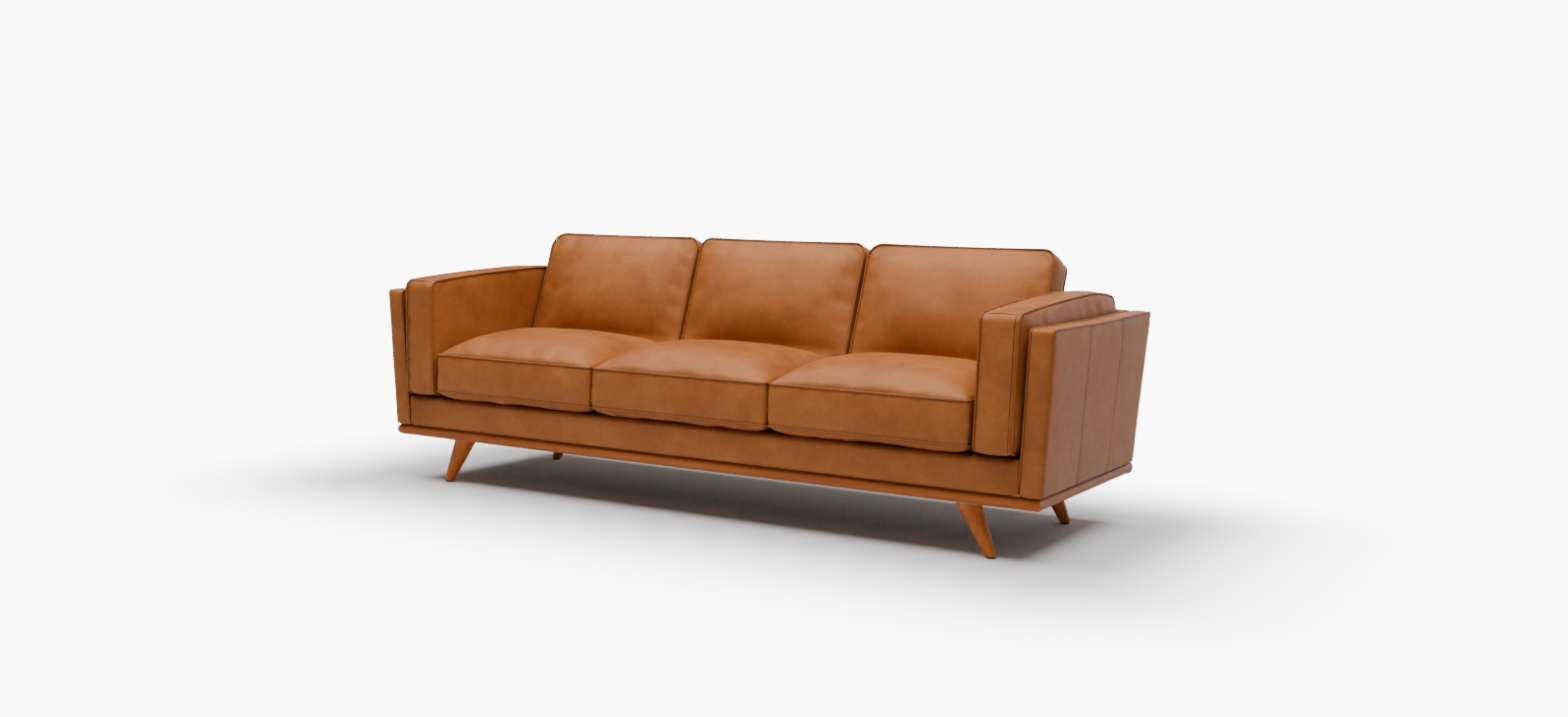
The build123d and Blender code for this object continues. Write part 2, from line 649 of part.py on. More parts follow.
def seat_cushion(x_low, x_high, inset):
    """A seat cushion with a flat base, upright sides and a crowned top, low under the backs."""
    low = DECK_TOP + REST_GAP + inset
    side, crest, rear = SEAT_SIDE_TOP - inset, SEAT_CREST - inset, SEAT_UNDER_BACK - inset
    x0, x1 = x_low + inset, x_high - inset
    y0, y1 = SEAT_FRONT + inset, SEAT_REAR - inset
    under_back = BACK_TOP_Y - (BACK_TOP_Z - SEAT_UNDER_BACK) * tan(radians(BACK_LEAN)) - BACK_CROWN
    middle = y0 + (under_back - y0) * SEAT_CREST_FRONT_SHARE
    front_view = Polyline((x1, side), (x1, low), (x0, low), (x0, side))
    front_view += ThreePointArc((x0, side), ((x0 + x1) / 2, crest), (x1, side))
    side_view = Polyline((under_back, rear), (y1, rear), (y1, low), (y0, low), (y0, side))
    side_view += ThreePointArc((y0, side), (middle, crest), (under_back, rear))
    return crowned_prism(make_face(front_view), make_face(side_view), (Plane.XZ, Plane.YZ))


def back_cushion(x_low, x_high, inset):
    """A leaning back cushion, domed in front, flat where it stands on the seat."""
    lean = radians(BACK_LEAN)
    low = SEAT_UNDER_BACK + REST_GAP
    height = (BACK_TOP_Z - low) / cos(lean) + BACK_THICKNESS * tan(lean)
    origin = Vector((x_low + x_high) / 2, BACK_TOP_Y, BACK_TOP_Z) - Vector(0, sin(lean), cos(lean)) * height
    # Sections lie across the thickness, from the rear to the top of the dome.
    front = Plane(origin, x_dir=(1, 0, 0), z_dir=(0, -cos(lean), sin(lean)))
    steps = [
        (-BACK_THICKNESS + inset, 0),
        (0, 0),
        (BACK_CROWN * DOME_SHOULDER - inset, DOME_SHOULDER_INSET),
        (BACK_CROWN - inset, DOME_TOP_INSET),
    ]
    sections = []
    for depth, drawn_in in steps:
        edge = inset + drawn_in
        size = (x_high - x_low - 2 * edge, height - 2 * edge)
        outline = RectangleRounded(*size, BACK_CORNER_RADIUS - inset)
        sections.append(front.offset(depth) * Pos(0, height / 2) * outline)
    flat = board((-REACH, REACH), (-REACH, REACH), (low + inset, REACH))
    return loft(sections, ruled=True) & flat


def cushions(made):
    """Seat and back cushions, each a leather cover with a core and a zip."""
    for name, x_low, x_high in cushion_spans():
        centre = (x_low + x_high) / 2
        zip_z = (DECK_TOP + SEAT_SIDE_TOP) / 2
        slot_depth = 2 * COVER - ZIP_SEAT
        seat_slot = Pos(centre, SEAT_REAR, zip_z) * Box(ZIP_LENGTH + FIT, slot_depth, ZIP_WIDTH + FIT)
        seat_zip = Pos(centre, SEAT_REAR - ZIP_THICKNESS / 2, zip_z)
        seat_zip *= Box(ZIP_LENGTH, ZIP_THICKNESS, ZIP_WIDTH)
        seat_outer = seat_cushion(x_low, x_high, 0)
        made[f"seat_cushion_cover_{name}"] = seat_outer - seat_cushion(x_low, x_high, COVER) - seat_slot
        made[f"seat_cushion_core_{name}"] = seat_cushion(x_low, x_high, COVER + CORE_CLEARANCE)
        made[f"seat_cushion_zip_{name}"] = seat_zip
        back_outer = back_cushion(x_low, x_high, 0)
        base = back_outer.faces().sort_by(Axis.Z)[0].center()
        back_slot = Pos(centre, base.Y, base.Z) * Box(ZIP_LENGTH + FIT, ZIP_WIDTH + FIT, slot_depth)
        back_zip = Pos(centre, base.Y, base.Z + ZIP_THICKNESS / 2)
        back_zip *= Box(ZIP_LENGTH, ZIP_WIDTH, ZIP_THICKNESS)
        made[f"back_cushion_cover_{name}"] = back_outer - back_cushion(x_low, x_high, COVER) - back_slot
        made[f"back_cushion_core_{name}"] = back_cushion(x_low, x_high, COVER + CORE_CLEARANCE)
        made[f"back_cushion_zip_{name}"] = back_zip


def sofa():
    """Every node of the sofa by name."""
    made = plinth()
    legs(made)
    seat_frame(made)
    walls(made)
    padded_inner(made)
    cushions(made)
    return made


for node, shape in sofa().items():
    export_step(shape, f"parts/{node}.step")
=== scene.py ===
"""The looks of a three-seat leather sofa on a wooden plinth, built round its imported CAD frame.

Laid out as an add-on whose operators each build one piece or one group of like pieces.
Lengths are metres, +Z is up and the front of the sofa faces -Y.
"""

import math

import bmesh
import bpy
import numpy as np
from bpy.props import FloatProperty, FloatVectorProperty, PointerProperty
from mathutils import Matrix, Vector, noise


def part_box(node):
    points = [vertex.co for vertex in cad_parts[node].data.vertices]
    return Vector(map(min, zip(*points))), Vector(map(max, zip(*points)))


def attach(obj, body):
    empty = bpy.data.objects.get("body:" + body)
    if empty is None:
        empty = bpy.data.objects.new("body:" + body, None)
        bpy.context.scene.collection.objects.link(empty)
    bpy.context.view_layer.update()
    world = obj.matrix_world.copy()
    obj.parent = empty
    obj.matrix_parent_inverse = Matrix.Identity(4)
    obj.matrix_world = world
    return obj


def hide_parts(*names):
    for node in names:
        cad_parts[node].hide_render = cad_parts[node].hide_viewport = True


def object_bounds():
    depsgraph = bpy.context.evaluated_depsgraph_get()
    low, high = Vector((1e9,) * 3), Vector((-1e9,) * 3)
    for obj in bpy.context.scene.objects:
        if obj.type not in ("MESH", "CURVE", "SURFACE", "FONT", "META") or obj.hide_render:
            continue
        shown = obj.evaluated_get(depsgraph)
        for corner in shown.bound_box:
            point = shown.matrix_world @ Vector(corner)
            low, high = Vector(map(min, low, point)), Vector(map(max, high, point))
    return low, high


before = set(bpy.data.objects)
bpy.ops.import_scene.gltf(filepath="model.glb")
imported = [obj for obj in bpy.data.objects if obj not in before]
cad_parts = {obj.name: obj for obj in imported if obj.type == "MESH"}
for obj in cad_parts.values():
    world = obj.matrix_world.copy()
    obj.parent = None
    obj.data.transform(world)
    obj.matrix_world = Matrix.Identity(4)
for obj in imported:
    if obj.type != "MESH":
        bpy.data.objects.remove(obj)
CAD_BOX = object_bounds()

bl_info = {
    "name": "Leather sofa",
    "version": (1, 0, 0),
    "blender": (4, 5, 0),
    "location": "View3D > Sidebar > Sofa",
    "description": "Builds the upholstery, finishes and stage of a three-seat leather sofa",
    "category": "Object",
}

NAMES = ("left", "centre", "right")
SIDES = {"left": -1, "right": 1}
SEAM_RADIUS = 0.0011
# How far a cushion's side may stand past its CAD cover, less than half the gap between two cushions.
SIDE_SPARE = 0.001
# How far a cushion stands over what it rests on.
TOUCH = 0.0004
CORE_INSET = 0.007
# How far the cloth simulation may move a point.
CUSHION_CAP = 0.004
ARM_PAD_CAP = 0.0015
# Thickness of the outer arms and the outer back, and how far the back's foot is in from its top.
WALL = 0.063
WALL_LEAN = 0.045
# Half the width of a plain seam's dent, and the space between the grid lines that shape it.
SEAM_SPREAD = 0.0026
SEAM_STEP = 0.0022
# How far a welt's groove and the shade painted beside it reach.
GROOVE_REACH = 0.0042
SEAM_REACH = 0.0045
WARM_GLOSS = (1.0, 0.74, 0.52, 1.0)


# ---- Settings ----


def length_setting(name, description, default):
    return FloatProperty(name=name, description=description, default=default, unit="LENGTH")


def angle_setting(name, description, degrees):
    return FloatProperty(
        name=name, description=description, default=math.radians(degrees), subtype="ANGLE", unit="ROTATION"
    )


def colour_setting(name, description, default):
    return FloatVectorProperty(
        name=name, description=description, default=default, size=3, min=0.0, max=1.0, subtype="COLOR"
    )


def amount_setting(name, description, default, unit="NONE"):
    return FloatProperty(name=name, description=description, default=default, min=0.0, unit=unit)


class SofaCushionSettings(bpy.types.PropertyGroup):
    seat_crown: length_setting("Seat crown", "Height of the seat cushions' tops over their welts", 0.078)
    seat_welt_height: length_setting(
        "Seat welt height", "Height of the seat cushions' top welt over the floor", 0.430
    )
    seat_belly: length_setting("Seat belly", "How far the seat cushions sag under their lower welt", 0.022)
    back_crown: length_setting(
        "Back crown", "How far the back cushions swell in front of their welts", 0.048
    )
    back_lean: angle_setting("Back lean", "Lean of the back cushions from upright", 20)
    back_thickness: length_setting("Back thickness", "Width of the back cushions' side bands", 0.116)
    welt_radius: length_setting("Welt radius", "Radius of the piping in the seams", 0.0028)


class SofaFrameSettings(bpy.types.PropertyGroup):
    arm_crest: length_setting("Arm crest", "Rise of the arm pads' tops over their ends", 0.033)
    wall_swell: length_setting(
        "Wall swell", "How far the padded outer faces swell between their edges", 0.004
    )
    seam_depth: length_setting("Seam depth", "Depth of the plain seams in the outer panels", 0.0016)


class SofaFinishSettings(bpy.types.PropertyGroup):
    leather: colour_setting("Leather", "Main colour of the leather", (0.300, 0.089, 0.0180))
    leather_light: colour_setting(
        "Leather, rubbed", "Colour where the leather is rubbed pale", (0.375, 0.124, 0.029)
    )
    # The deep colour is used for random deep patches, and painted shade along the seams is also mixed
    # towards it.
    leather_dark: colour_setting(
        "Leather, deep", "Colour of deep patches and along seams", (0.165, 0.040, 0.006)
    )
    wood: colour_setting("Wood", "Main colour of the stained wood", (0.365, 0.098, 0.0190))
    wood_dark: colour_setting(
        "Wood, grain", "Colour of the darker grain lines in the wood", (0.200, 0.044, 0.0065)
    )


class SofaStageSettings(bpy.types.PropertyGroup):
    camera_place: FloatVectorProperty(
        name="Camera place",
        description="Where the camera stands",
        default=(2.5200, -4.3413, 0.9425),
        size=3,
        subtype="XYZ",
        unit="LENGTH",
    )
    camera_turn: angle_setting("Camera turn", "Turn of the camera to the left of straight ahead", 32.3215)
    camera_dip: angle_setting("Camera dip", "How far the camera looks down", 6.9979)
    camera_roll: angle_setting("Camera roll", "Roll of the camera about its own view", 1.0494)
    lens: amount_setting("Lens", "Focal length in millimetres", 37.06)
    horizon: amount_setting(
        "Horizon", "Brightness of the white surroundings as the camera sees them", 10.0
    )
    dome: amount_setting("Dome", "Brightness of the light that comes from all round", 0.19)
    top_light: amount_setting("Top light", "Power of the large soft light overhead", 545.0, "POWER")
    rear_light: amount_setting("Rear light", "Power of the soft light behind the sofa", 80.0, "POWER")


# ---- Small helpers ----


def deselect():
    """Nothing is selected and no object is active in edit mode."""
    if bpy.context.object and bpy.context.object.mode != "OBJECT":
        bpy.ops.object.mode_set(mode="OBJECT")
    bpy.ops.object.select_all(action="DESELECT")


def activate(piece):
    deselect()
    piece.select_set(True)
    bpy.context.view_layer.objects.active = piece


def points_of(piece):
    co = np.zeros(len(piece.data.vertices) * 3)
    piece.data.vertices.foreach_get("co", co)
    return co.reshape(-1, 3)


def set_points(piece, co):
    piece.data.vertices.foreach_set("co", np.asarray(co, float).ravel())
    piece.data.update()


def lerp(low, high, share):
    return low + (high - low) * share


def smooth(value, start, end):
    """0 before start, 1 after end and a soft step between them."""
    t = np.clip((value - start) / (end - start), 0, 1)
    return t * t * (3 - 2 * t)


def waves(co, scale, seed):
    """A slow, repeatable unevenness at each point, mostly from -1 to 1."""
    shift = Vector((seed * 7.31, seed * 3.17, seed * 5.71))
    return np.array([noise.noise(Vector(p) / scale + shift) for p in co]) * 1.6


# ---- The padded form that every cushion and wall starts from ----


def grid_block(name, cuts):
    """A cube from -1 to 1, cut into an even grid along each of its axes."""
    deselect()
    bpy.ops.mesh.primitive_cube_add(size=2, location=(0, 0, 0))
    piece = bpy.context.object
    piece.name = piece.data.name = name
    bpy.ops.object.mode_set(mode="EDIT")
    bpy.ops.mesh.select_mode(type="EDGE")
    for axis, count in enumerate(cuts):
        bpy.ops.mesh.select_all(action="DESELECT")
        mesh = bmesh.from_edit_mesh(piece.data)
        for edge in mesh.edges:
            run = edge.verts[1].co - edge.verts[0].co
            edge.select_set(abs(run[axis]) > run.length * 0.9)
        mesh.select_flush_mode()
        bmesh.update_edit_mesh(piece.data)
        bpy.ops.mesh.subdivide(number_cuts=count, quadcorner="STRAIGHT_CUT")
    bpy.ops.object.mode_set(mode="OBJECT")
    return piece


def crowd_ends(t, strength):
    """Moves even places from -1 to 1 nearer to both ends."""
    k = math.pi / 2 * strength
    return np.sin(t * k) / math.sin(k)


def crowd_marks(t, marks, reach, spread):
    """Moves the nearest even places onto and close round each mark, so that a seam has its own lines."""
    levels = np.unique(np.round(t, 6))
    moved = levels.copy()
    for mark in marks:
        order = np.argsort(np.abs(levels - mark))[: 2 * reach + 1]
        order.sort()
        offsets = (np.arange(len(order)) - len(order) // 2) * spread
        moved[order] = mark + offsets
    return np.interp(t, levels, moved)


def round_corner(u, w, radius):
    """Rounds a square corner at u = 0, w = 0 that lies inside u > 0, w > 0."""
    p, q = radius - u, radius - w
    inside = (p > 0) & (q > 0)
    squeeze = np.maximum(p, q) / np.maximum(np.hypot(p, q), 1e-9)
    return np.where(inside, radius - p * squeeze, u), np.where(inside, radius - q * squeeze, w)


def padded_shape(co, form):
    """Turns grid points into a boxed cushion in its own frame.

    form holds half sizes, corner radii, crowns, swell, groove and their shapes. The cushion's faces
    look along w and its bands run round u and v. Returns the points, how close each one is to a
    welt and whether it is on the face at +w.
    """
    a = crowd_ends(co[:, 0], form.get("crowd", 0.86))
    b = crowd_ends(co[:, 1], form.get("crowd", 0.86))
    c = crowd_ends(co[:, 2], form.get("crowd_band", 0.6))
    hu, hv, hw = form["half"]
    if "seams" in form:
        a = crowd_marks(a, [seam / hu for seam in form["seams"]], 2, SEAM_STEP / hu)
    ring = np.maximum(np.abs(a), np.abs(b))
    u, v = a * hu, b * hv
    # Corner radii: top-right, top-left, bottom-left, bottom-right.
    radii = form["radii"]
    radius = np.where(v >= 0, np.where(u >= 0, radii[0], radii[1]), np.where(u < 0, radii[2], radii[3]))
    du = np.abs(u) - (hu - radius)
    dv = np.abs(v) - (hv - radius)
    corner = (du > 0) & (dv > 0)
    diagonal = np.maximum(np.hypot(du, dv), 1e-9)
    squeeze = np.where(corner, np.maximum(du, dv) / diagonal, 1.0)
    u = np.where(corner, np.sign(u) * (hu - radius + du * squeeze), u)
    v = np.where(corner, np.sign(v) * (hv - radius + dv * squeeze), v)
    wide = np.abs(a) >= np.abs(b)
    normal_u = np.where(corner, np.sign(u) * du / diagonal, np.sign(u) * wide)
    normal_v = np.where(corner, np.sign(v) * dv / diagonal, np.sign(v) * ~wide)
    # Faces: a crown that rises steeply from the welts.
    power = np.where(c > 0, form["power"][0], form["power"][1])
    fullness = np.where(c > 0, form["fullness"][0], form["fullness"][1])
    # With a tuck above 1 the lower part of a face turns back to its welt early.
    tucked = np.where((b < 0) & (c > 0), np.clip(b * form.get("tuck", 1.0), -1, 0), b)
    rise = np.clip((1 - np.abs(a) ** power) * (1 - np.abs(tucked) ** power), 0, None) ** fullness
    crown = np.where(c > 0, form["crowns"][0], form["crowns"][1])
    face = np.abs(co[:, 2]) > 0.9999
    edge_gap = (1 - ring) * np.minimum(hu, hv)
    groove = form["groove"] * np.exp(-((edge_gap / GROOVE_REACH) ** 2)) * (ring < 0.99999)
    w = c * hw + np.where(face, np.sign(c) * (crown * rise - groove), 0.0)
    # Bands: a soft swell between the welts with a groove beside each one.
    band = ring > 0.99999
    swell = form["swell"] * (1 - np.abs(c) ** 2.5)
    band_gap = (1 - np.abs(c)) * hw
    dent = form["groove"] * np.exp(-((band_gap / GROOVE_REACH) ** 2)) * (np.abs(c) < 0.99999)
    push = np.where(band, swell - dent, 0.0)
    u = u + normal_u * push
    v = v + normal_v * push
    # Sides draw in a little between the corners.
    pull = form.get("pull", 0.0)
    u = u - pull * np.sign(a) * np.abs(a) ** 3 * (1 - b**2)
    v = v - pull * np.sign(b) * np.abs(b) ** 3 * (1 - a**2)
    near = np.exp(-((np.where(band, band_gap, edge_gap) / SEAM_REACH) ** 2))
    return np.column_stack([u, v, w]), near, (c > 0.999) & face


def press_seams(local, front, seams, depth):
    """Presses plain upright seams into a padded piece's front face."""
    share = sum(np.exp(-(((local[:, 0] - seam) / SEAM_SPREAD) ** 2)) for seam in seams)
    local[:, 2] -= np.where(front, share * depth, 0)


def store_mask(piece, name, values):
    """Keeps one value a point for the materials to read."""
    layer = piece.data.attributes.get(name) or piece.data.attributes.new(name, "FLOAT", "POINT")
    layer.data.foreach_set("value", np.asarray(values, np.float32))


def inflate(piece, pinned, cap, pressure=4.0, frames=14):
    """Blows a pad up as cloth while its seams stay put, and lets no point move further than cap."""
    start = points_of(piece)
    group = piece.vertex_groups.new(name="seams")
    for index in np.flatnonzero(pinned > 0):
        group.add([int(index)], float(pinned[index]), "REPLACE")
    activate(piece)
    cloth = piece.modifiers.new("pressure", "CLOTH")
    settings = cloth.settings
    settings.quality = 5
    settings.mass = 0.4
    settings.tension_stiffness = 40
    settings.compression_stiffness = 12
    settings.shear_stiffness = 12
    settings.bending_stiffness = 8
    settings.use_pressure = True
    settings.uniform_pressure_force = pressure
    settings.vertex_group_mass = "seams"
    settings.pin_stiffness = 4
    settings.shrink_min = -0.005
    settings.effector_weights.gravity = 0
    cloth.collision_settings.use_collision = False
    scene = bpy.context.scene
    scene.frame_start, scene.frame_end = 1, frames
    cloth.point_cache.frame_start, cloth.point_cache.frame_end = 1, frames
    for number in range(1, frames + 1):
        scene.frame_set(number)
    result = piece.evaluated_get(bpy.context.evaluated_depsgraph_get())
    moved_mesh = result.to_mesh()
    moved = np.zeros(len(moved_mesh.vertices) * 3)
    moved_mesh.vertices.foreach_get("co", moved)
    result.to_mesh_clear()
    piece.modifiers.remove(cloth)
    piece.vertex_groups.clear()
    scene.frame_set(1)
    step = moved.reshape(-1, 3) - start
    distance = np.linalg.norm(step, axis=1, keepdims=True)
    allowed = cap * (1 - pinned)[:, None]
    set_points(piece, start + step * np.minimum(1, allowed / np.maximum(distance, 1e-9)))


def subdivide(piece):
    """One round of subdivision surface, applied."""
    activate(piece)
    modifier = piece.modifiers.new("soften", "SUBSURF")
    modifier.levels = modifier.render_levels = 1
    bpy.ops.object.modifier_apply(modifier=modifier.name)


def finish_piece(piece, body, slot, material, *stands_for):
    """Gives a new piece its material, body and the CAD nodes that it stands for. Its slot is not used."""
    piece.data.materials.clear()
    piece.data.materials.append(material)
    piece.data.polygons.foreach_set("use_smooth", [True] * len(piece.data.polygons))
    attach(piece, body)
    if stands_for:
        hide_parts(*stands_for)
    deselect()


def welt(name, loops, radius, body, material):
    """Piping along closed or open lines of points, each loop a (points, closed) pair."""
    curve = bpy.data.curves.new(name, "CURVE")
    curve.dimensions = "3D"
    curve.bevel_depth = radius
    curve.bevel_resolution = 2
    curve.use_fill_caps = True
    for points, closed in loops:
        spline = curve.splines.new("POLY")
        spline.points.add(len(points) - 1)
        flat = np.column_stack([points, np.ones(len(points))])
        spline.points.foreach_set("co", flat.ravel())
        spline.use_cyclic_u = closed
        if not closed:
            # Open ends thin out into the leather.
            from_end = np.minimum(np.arange(len(points)), np.arange(len(points))[::-1])
            spline.points.foreach_set("radius", np.clip((from_end + 0.5) / 6, 0.1, 1.0))
    source = bpy.data.objects.new(name + "_line", curve)
    bpy.context.collection.objects.link(source)
    mesh = bpy.data.meshes.new_from_object(source)
    bpy.data.objects.remove(source)
    piece = bpy.data.objects.new(name, mesh)
    bpy.context.collection.objects.link(piece)
    finish_piece(piece, body, "leather", material)


def edge_points(form, shares, levels):
    """Points of a cushion's plain form at shares of the way round it and levels across its band."""
    # The way round starts in the middle of the low side and goes by the low right corner.
    corners = [0, 1, 3, 5, 7, 8]
    a = np.interp(shares * 8, corners, [0, 1, 1, -1, -1, 0])
    b = np.interp(shares * 8, corners, [-1, -1, 1, 1, -1, -1])
    plain = dict(form, crowd=1e-3, crowd_band=1e-3, groove=0.0)
    plain.pop("seams", None)
    return padded_shape(np.column_stack([a, b, levels]), plain)[0]


def outline(form, place, level, out, count=160, part=None):
    """Points round a cushion's edge at one of its welts. part is the stretch kept, in shares of the way."""
    start, end = part or (0.0, 1.0)
    shares = np.linspace(start, end, count, endpoint=part is not None)
    local = edge_points(form, shares, np.full(count, float(level)))
    if part:
        step = np.gradient(local, axis=0)
    else:
        step = np.roll(local, -1, 0) - np.roll(local, 1, 0)
    normal = np.column_stack([step[:, 1], -step[:, 0], np.zeros(count)])
    normal /= np.maximum(np.linalg.norm(normal, axis=1, keepdims=True), 1e-9)
    local = local + normal * out
    local[:, 2] += np.sign(level) * out * 0.5
    return place(local)


def cross_line(form, place, share, out, count=13):
    """Points across a cushion's band, from welt to welt, at that share of the way round."""
    local = edge_points(form, np.full(count, share), np.linspace(-0.93, 0.93, count))
    lift = local[:, :2] / np.maximum(np.linalg.norm(local[:, :2], axis=1, keepdims=True), 1e-9)
    local[:, :2] += lift * out
    return place(local)


def piping(name, form, place, radius, body, count=160):
    """Closed piping round both edges of a cushion."""
    loops = [(outline(form, place, level, radius * 0.45, count), True) for level in (-1, 1)]
    welt(name, loops, radius, body, finish("leather_welt"))


def padded_piece(name, cuts, form, place, seed, cap, uneven, extra=None):
    """A padded piece with its seam mask, which paints shade along the welts. place puts its own frame's
    points into the sofa.
    """
    piece = grid_block(name, cuts)
    local, near, front = padded_shape(points_of(piece), form)
    if "seams" in form:
        press_seams(local, front, form["seams"], form["seam_depth"])
    co = place(extra(local) if extra else local)
    swing = waves(co, 0.16, seed) * uneven + waves(co, 0.06, seed + 9) * uneven * 0.35
    set_points(piece, co)
    point_outwards(piece)
    normals = np.zeros(len(piece.data.vertices) * 3)
    piece.data.vertices.foreach_get("normal", normals)
    seam = np.clip(near, 0, 1)
    set_points(piece, co + normals.reshape(-1, 3) * (swing * (1 - seam))[:, None])
    # The seam mask tells the leather where to paint shade beside the welts.
    store_mask(piece, "seam", seam)
    if cap:
        inflate(piece, np.where(near > 0.3, 1.0, 0.0), cap)
    return piece


def core_piece(name, cuts, form, place, body, node, inset):
    """The foam inside a padded piece, an inset copy of its form that stands for its CAD core."""
    hu, hv, hw = form["half"]
    crowns = tuple(crown - inset / 2 if crown > inset else crown * 0.5 for crown in form["crowns"])
    slim = dict(form, half=(hu - inset, hv - inset, hw - inset), crowns=crowns, swell=0.0, groove=0.0)
    slim["radii"] = tuple(max(radius - inset, 0.004) for radius in form["radii"])
    piece = grid_block(name, cuts)
    set_points(piece, place(padded_shape(points_of(piece), slim)[0], inset))
    point_outwards(piece)
    finish_piece(piece, body, "foam", finish("foam"), node)


def point_outwards(piece):
    """Turns a closed piece's faces outwards."""
    activate(piece)
    bpy.ops.object.mode_set(mode="EDIT")
    bpy.ops.mesh.select_all(action="SELECT")
    bpy.ops.mesh.normals_make_consistent(inside=False)
    bpy.ops.object.mode_set(mode="OBJECT")


# ---- Materials ----


class Nodes:
    """Adds nodes to a material or a node group and links them."""

    def __init__(self, tree):
        self.tree = tree

    def add(self, kind, **values):
        node = self.tree.nodes.new(kind)
        for key, value in values.items():
            if key.startswith("in_"):
                wanted = key[3:]
                self.feed(node.inputs[int(wanted) if wanted.isdigit() else wanted.replace("_", " ")], value)
            else:
                setattr(node, key, value)
        return node

    def feed(self, socket, value):
        """Links another node's output to the socket, or sets a constant on it."""
        if hasattr(value, "is_linked"):
            self.tree.links.new(value, socket)
        else:
            socket.default_value = value

    def maths(self, operation, a, b=0.0, clamp=False):
        node = self.add("ShaderNodeMath", operation=operation, use_clamp=clamp, in_0=a, in_1=b)
        return node.outputs[0]

    def mix(self, share, low, high):
        node = self.add("ShaderNodeMix", data_type="RGBA")
        for index, value in ((0, share), (6, low), (7, high)):
            self.feed(node.inputs[index], value)
        return node.outputs[2]

    def vector(self, operation, **values):
        return self.add("ShaderNodeVectorMath", operation=operation, **values).outputs[0]

    def mapped(self, vector, **values):
        return self.add("ShaderNodeMapping", in_Vector=vector, **values).outputs[0]

    def deliver(self, outputs, colour, rough, height):
        """Links a surface group's outputs and returns its tree."""
        for name, value in (("Color", colour), ("Roughness", rough), ("Height", height)):
            self.tree.links.new(value, outputs[name])
        return self.tree

    def noise(self, vector, scale, detail=3.0, roughness=0.55):
        return self.add(
            "ShaderNodeTexNoise", in_Vector=vector, in_Scale=scale, in_Detail=detail, in_Roughness=roughness
        ).outputs["Fac"]

    def spread(self, value, low, high, to_low=0.0, to_high=1.0):
        return self.add(
            "ShaderNodeMapRange", in_Value=value, in_1=low, in_2=high, in_3=to_low, in_4=to_high
        ).outputs[0]


def shaded(hue, shade):
    """A colour setting as a socket's value, darkened or lightened by shade; a shade other than 1 paints
    shade or light into that copy of the finish.
    """
    return (*[part * shade for part in hue], 1.0)


def new_group(name, inputs):
    """A surface group with its sockets. inputs holds each input's default by name, None for a vector."""
    tree = bpy.data.node_groups.new(name, "ShaderNodeTree")
    for label, default in inputs.items():
        kind = "Vector" if default is None else "Color" if isinstance(default, tuple) else "Float"
        socket = tree.interface.new_socket(name=label, in_out="INPUT", socket_type="NodeSocket" + kind)
        if default is not None:
            socket.default_value = default
    for label, kind in (("Color", "Color"), ("Roughness", "Float"), ("Height", "Float")):
        tree.interface.new_socket(name=label, in_out="OUTPUT", socket_type="NodeSocket" + kind)
    n = Nodes(tree)
    return n, n.add("NodeGroupInput").outputs, n.add("NodeGroupOutput").inputs


def leather_group():
    """Mottled colour, roughness and fine grain of a soft, waxed hide, with shade painted along its seams."""
    inputs = {"Vector": None, "Main": (0.3, 0.1, 0.03, 1), "Light": (0.4, 0.2, 0.1, 1)}
    inputs |= {"Dark": (0.2, 0.05, 0.01, 1), "Seam": 0.0}
    n, given, out = new_group("Hide surface", inputs)
    place = given["Vector"]
    clouds = n.noise(place, 5.0, 4.0, 0.6)
    patches = n.noise(place, 17.0, 5.0, 0.65)
    fine = n.noise(place, 85.0, 4.0, 0.6)
    light = n.maths("MULTIPLY", n.spread(clouds, 0.40, 0.68), n.spread(patches, 0.3, 0.7), True)
    dark = n.maths("MULTIPLY", n.spread(clouds, 0.60, 0.36), n.spread(patches, 0.70, 0.35), True)
    base = n.mix(n.maths("MULTIPLY", light, 0.75), given["Main"], given["Light"])
    base = n.mix(n.maths("MULTIPLY", dark, 0.50), base, given["Dark"])
    base = n.mix(n.spread(fine, 0.35, 0.75, 0.0, 0.22), base, given["Dark"])
    # Painted shade: where the Seam mask is high, beside the welts and seams, the colour is pulled towards
    # Dark as a shadow line.
    seam = n.maths("MULTIPLY", given["Seam"], n.spread(fine, 0.2, 0.8, 0.45, 0.75))
    base = n.mix(seam, base, given["Dark"])
    pores = n.add("ShaderNodeTexVoronoi", in_Vector=place, in_Scale=520.0, feature="F1")
    pebble = n.spread(pores.outputs["Distance"], 0.0, 0.7)
    creases = n.noise(place, 240.0, 3.0, 0.7)
    height = n.maths("ADD", n.maths("MULTIPLY", pebble, 0.6), n.maths("MULTIPLY", creases, 0.8))
    height = n.maths("ADD", height, n.maths("MULTIPLY", patches, 0.6))
    rough = n.maths("ADD", n.spread(patches, 0.3, 0.7, 0.43, 0.56), n.spread(fine, 0.3, 0.7, -0.03, 0.03))
    return n.deliver(out, base, rough, height)


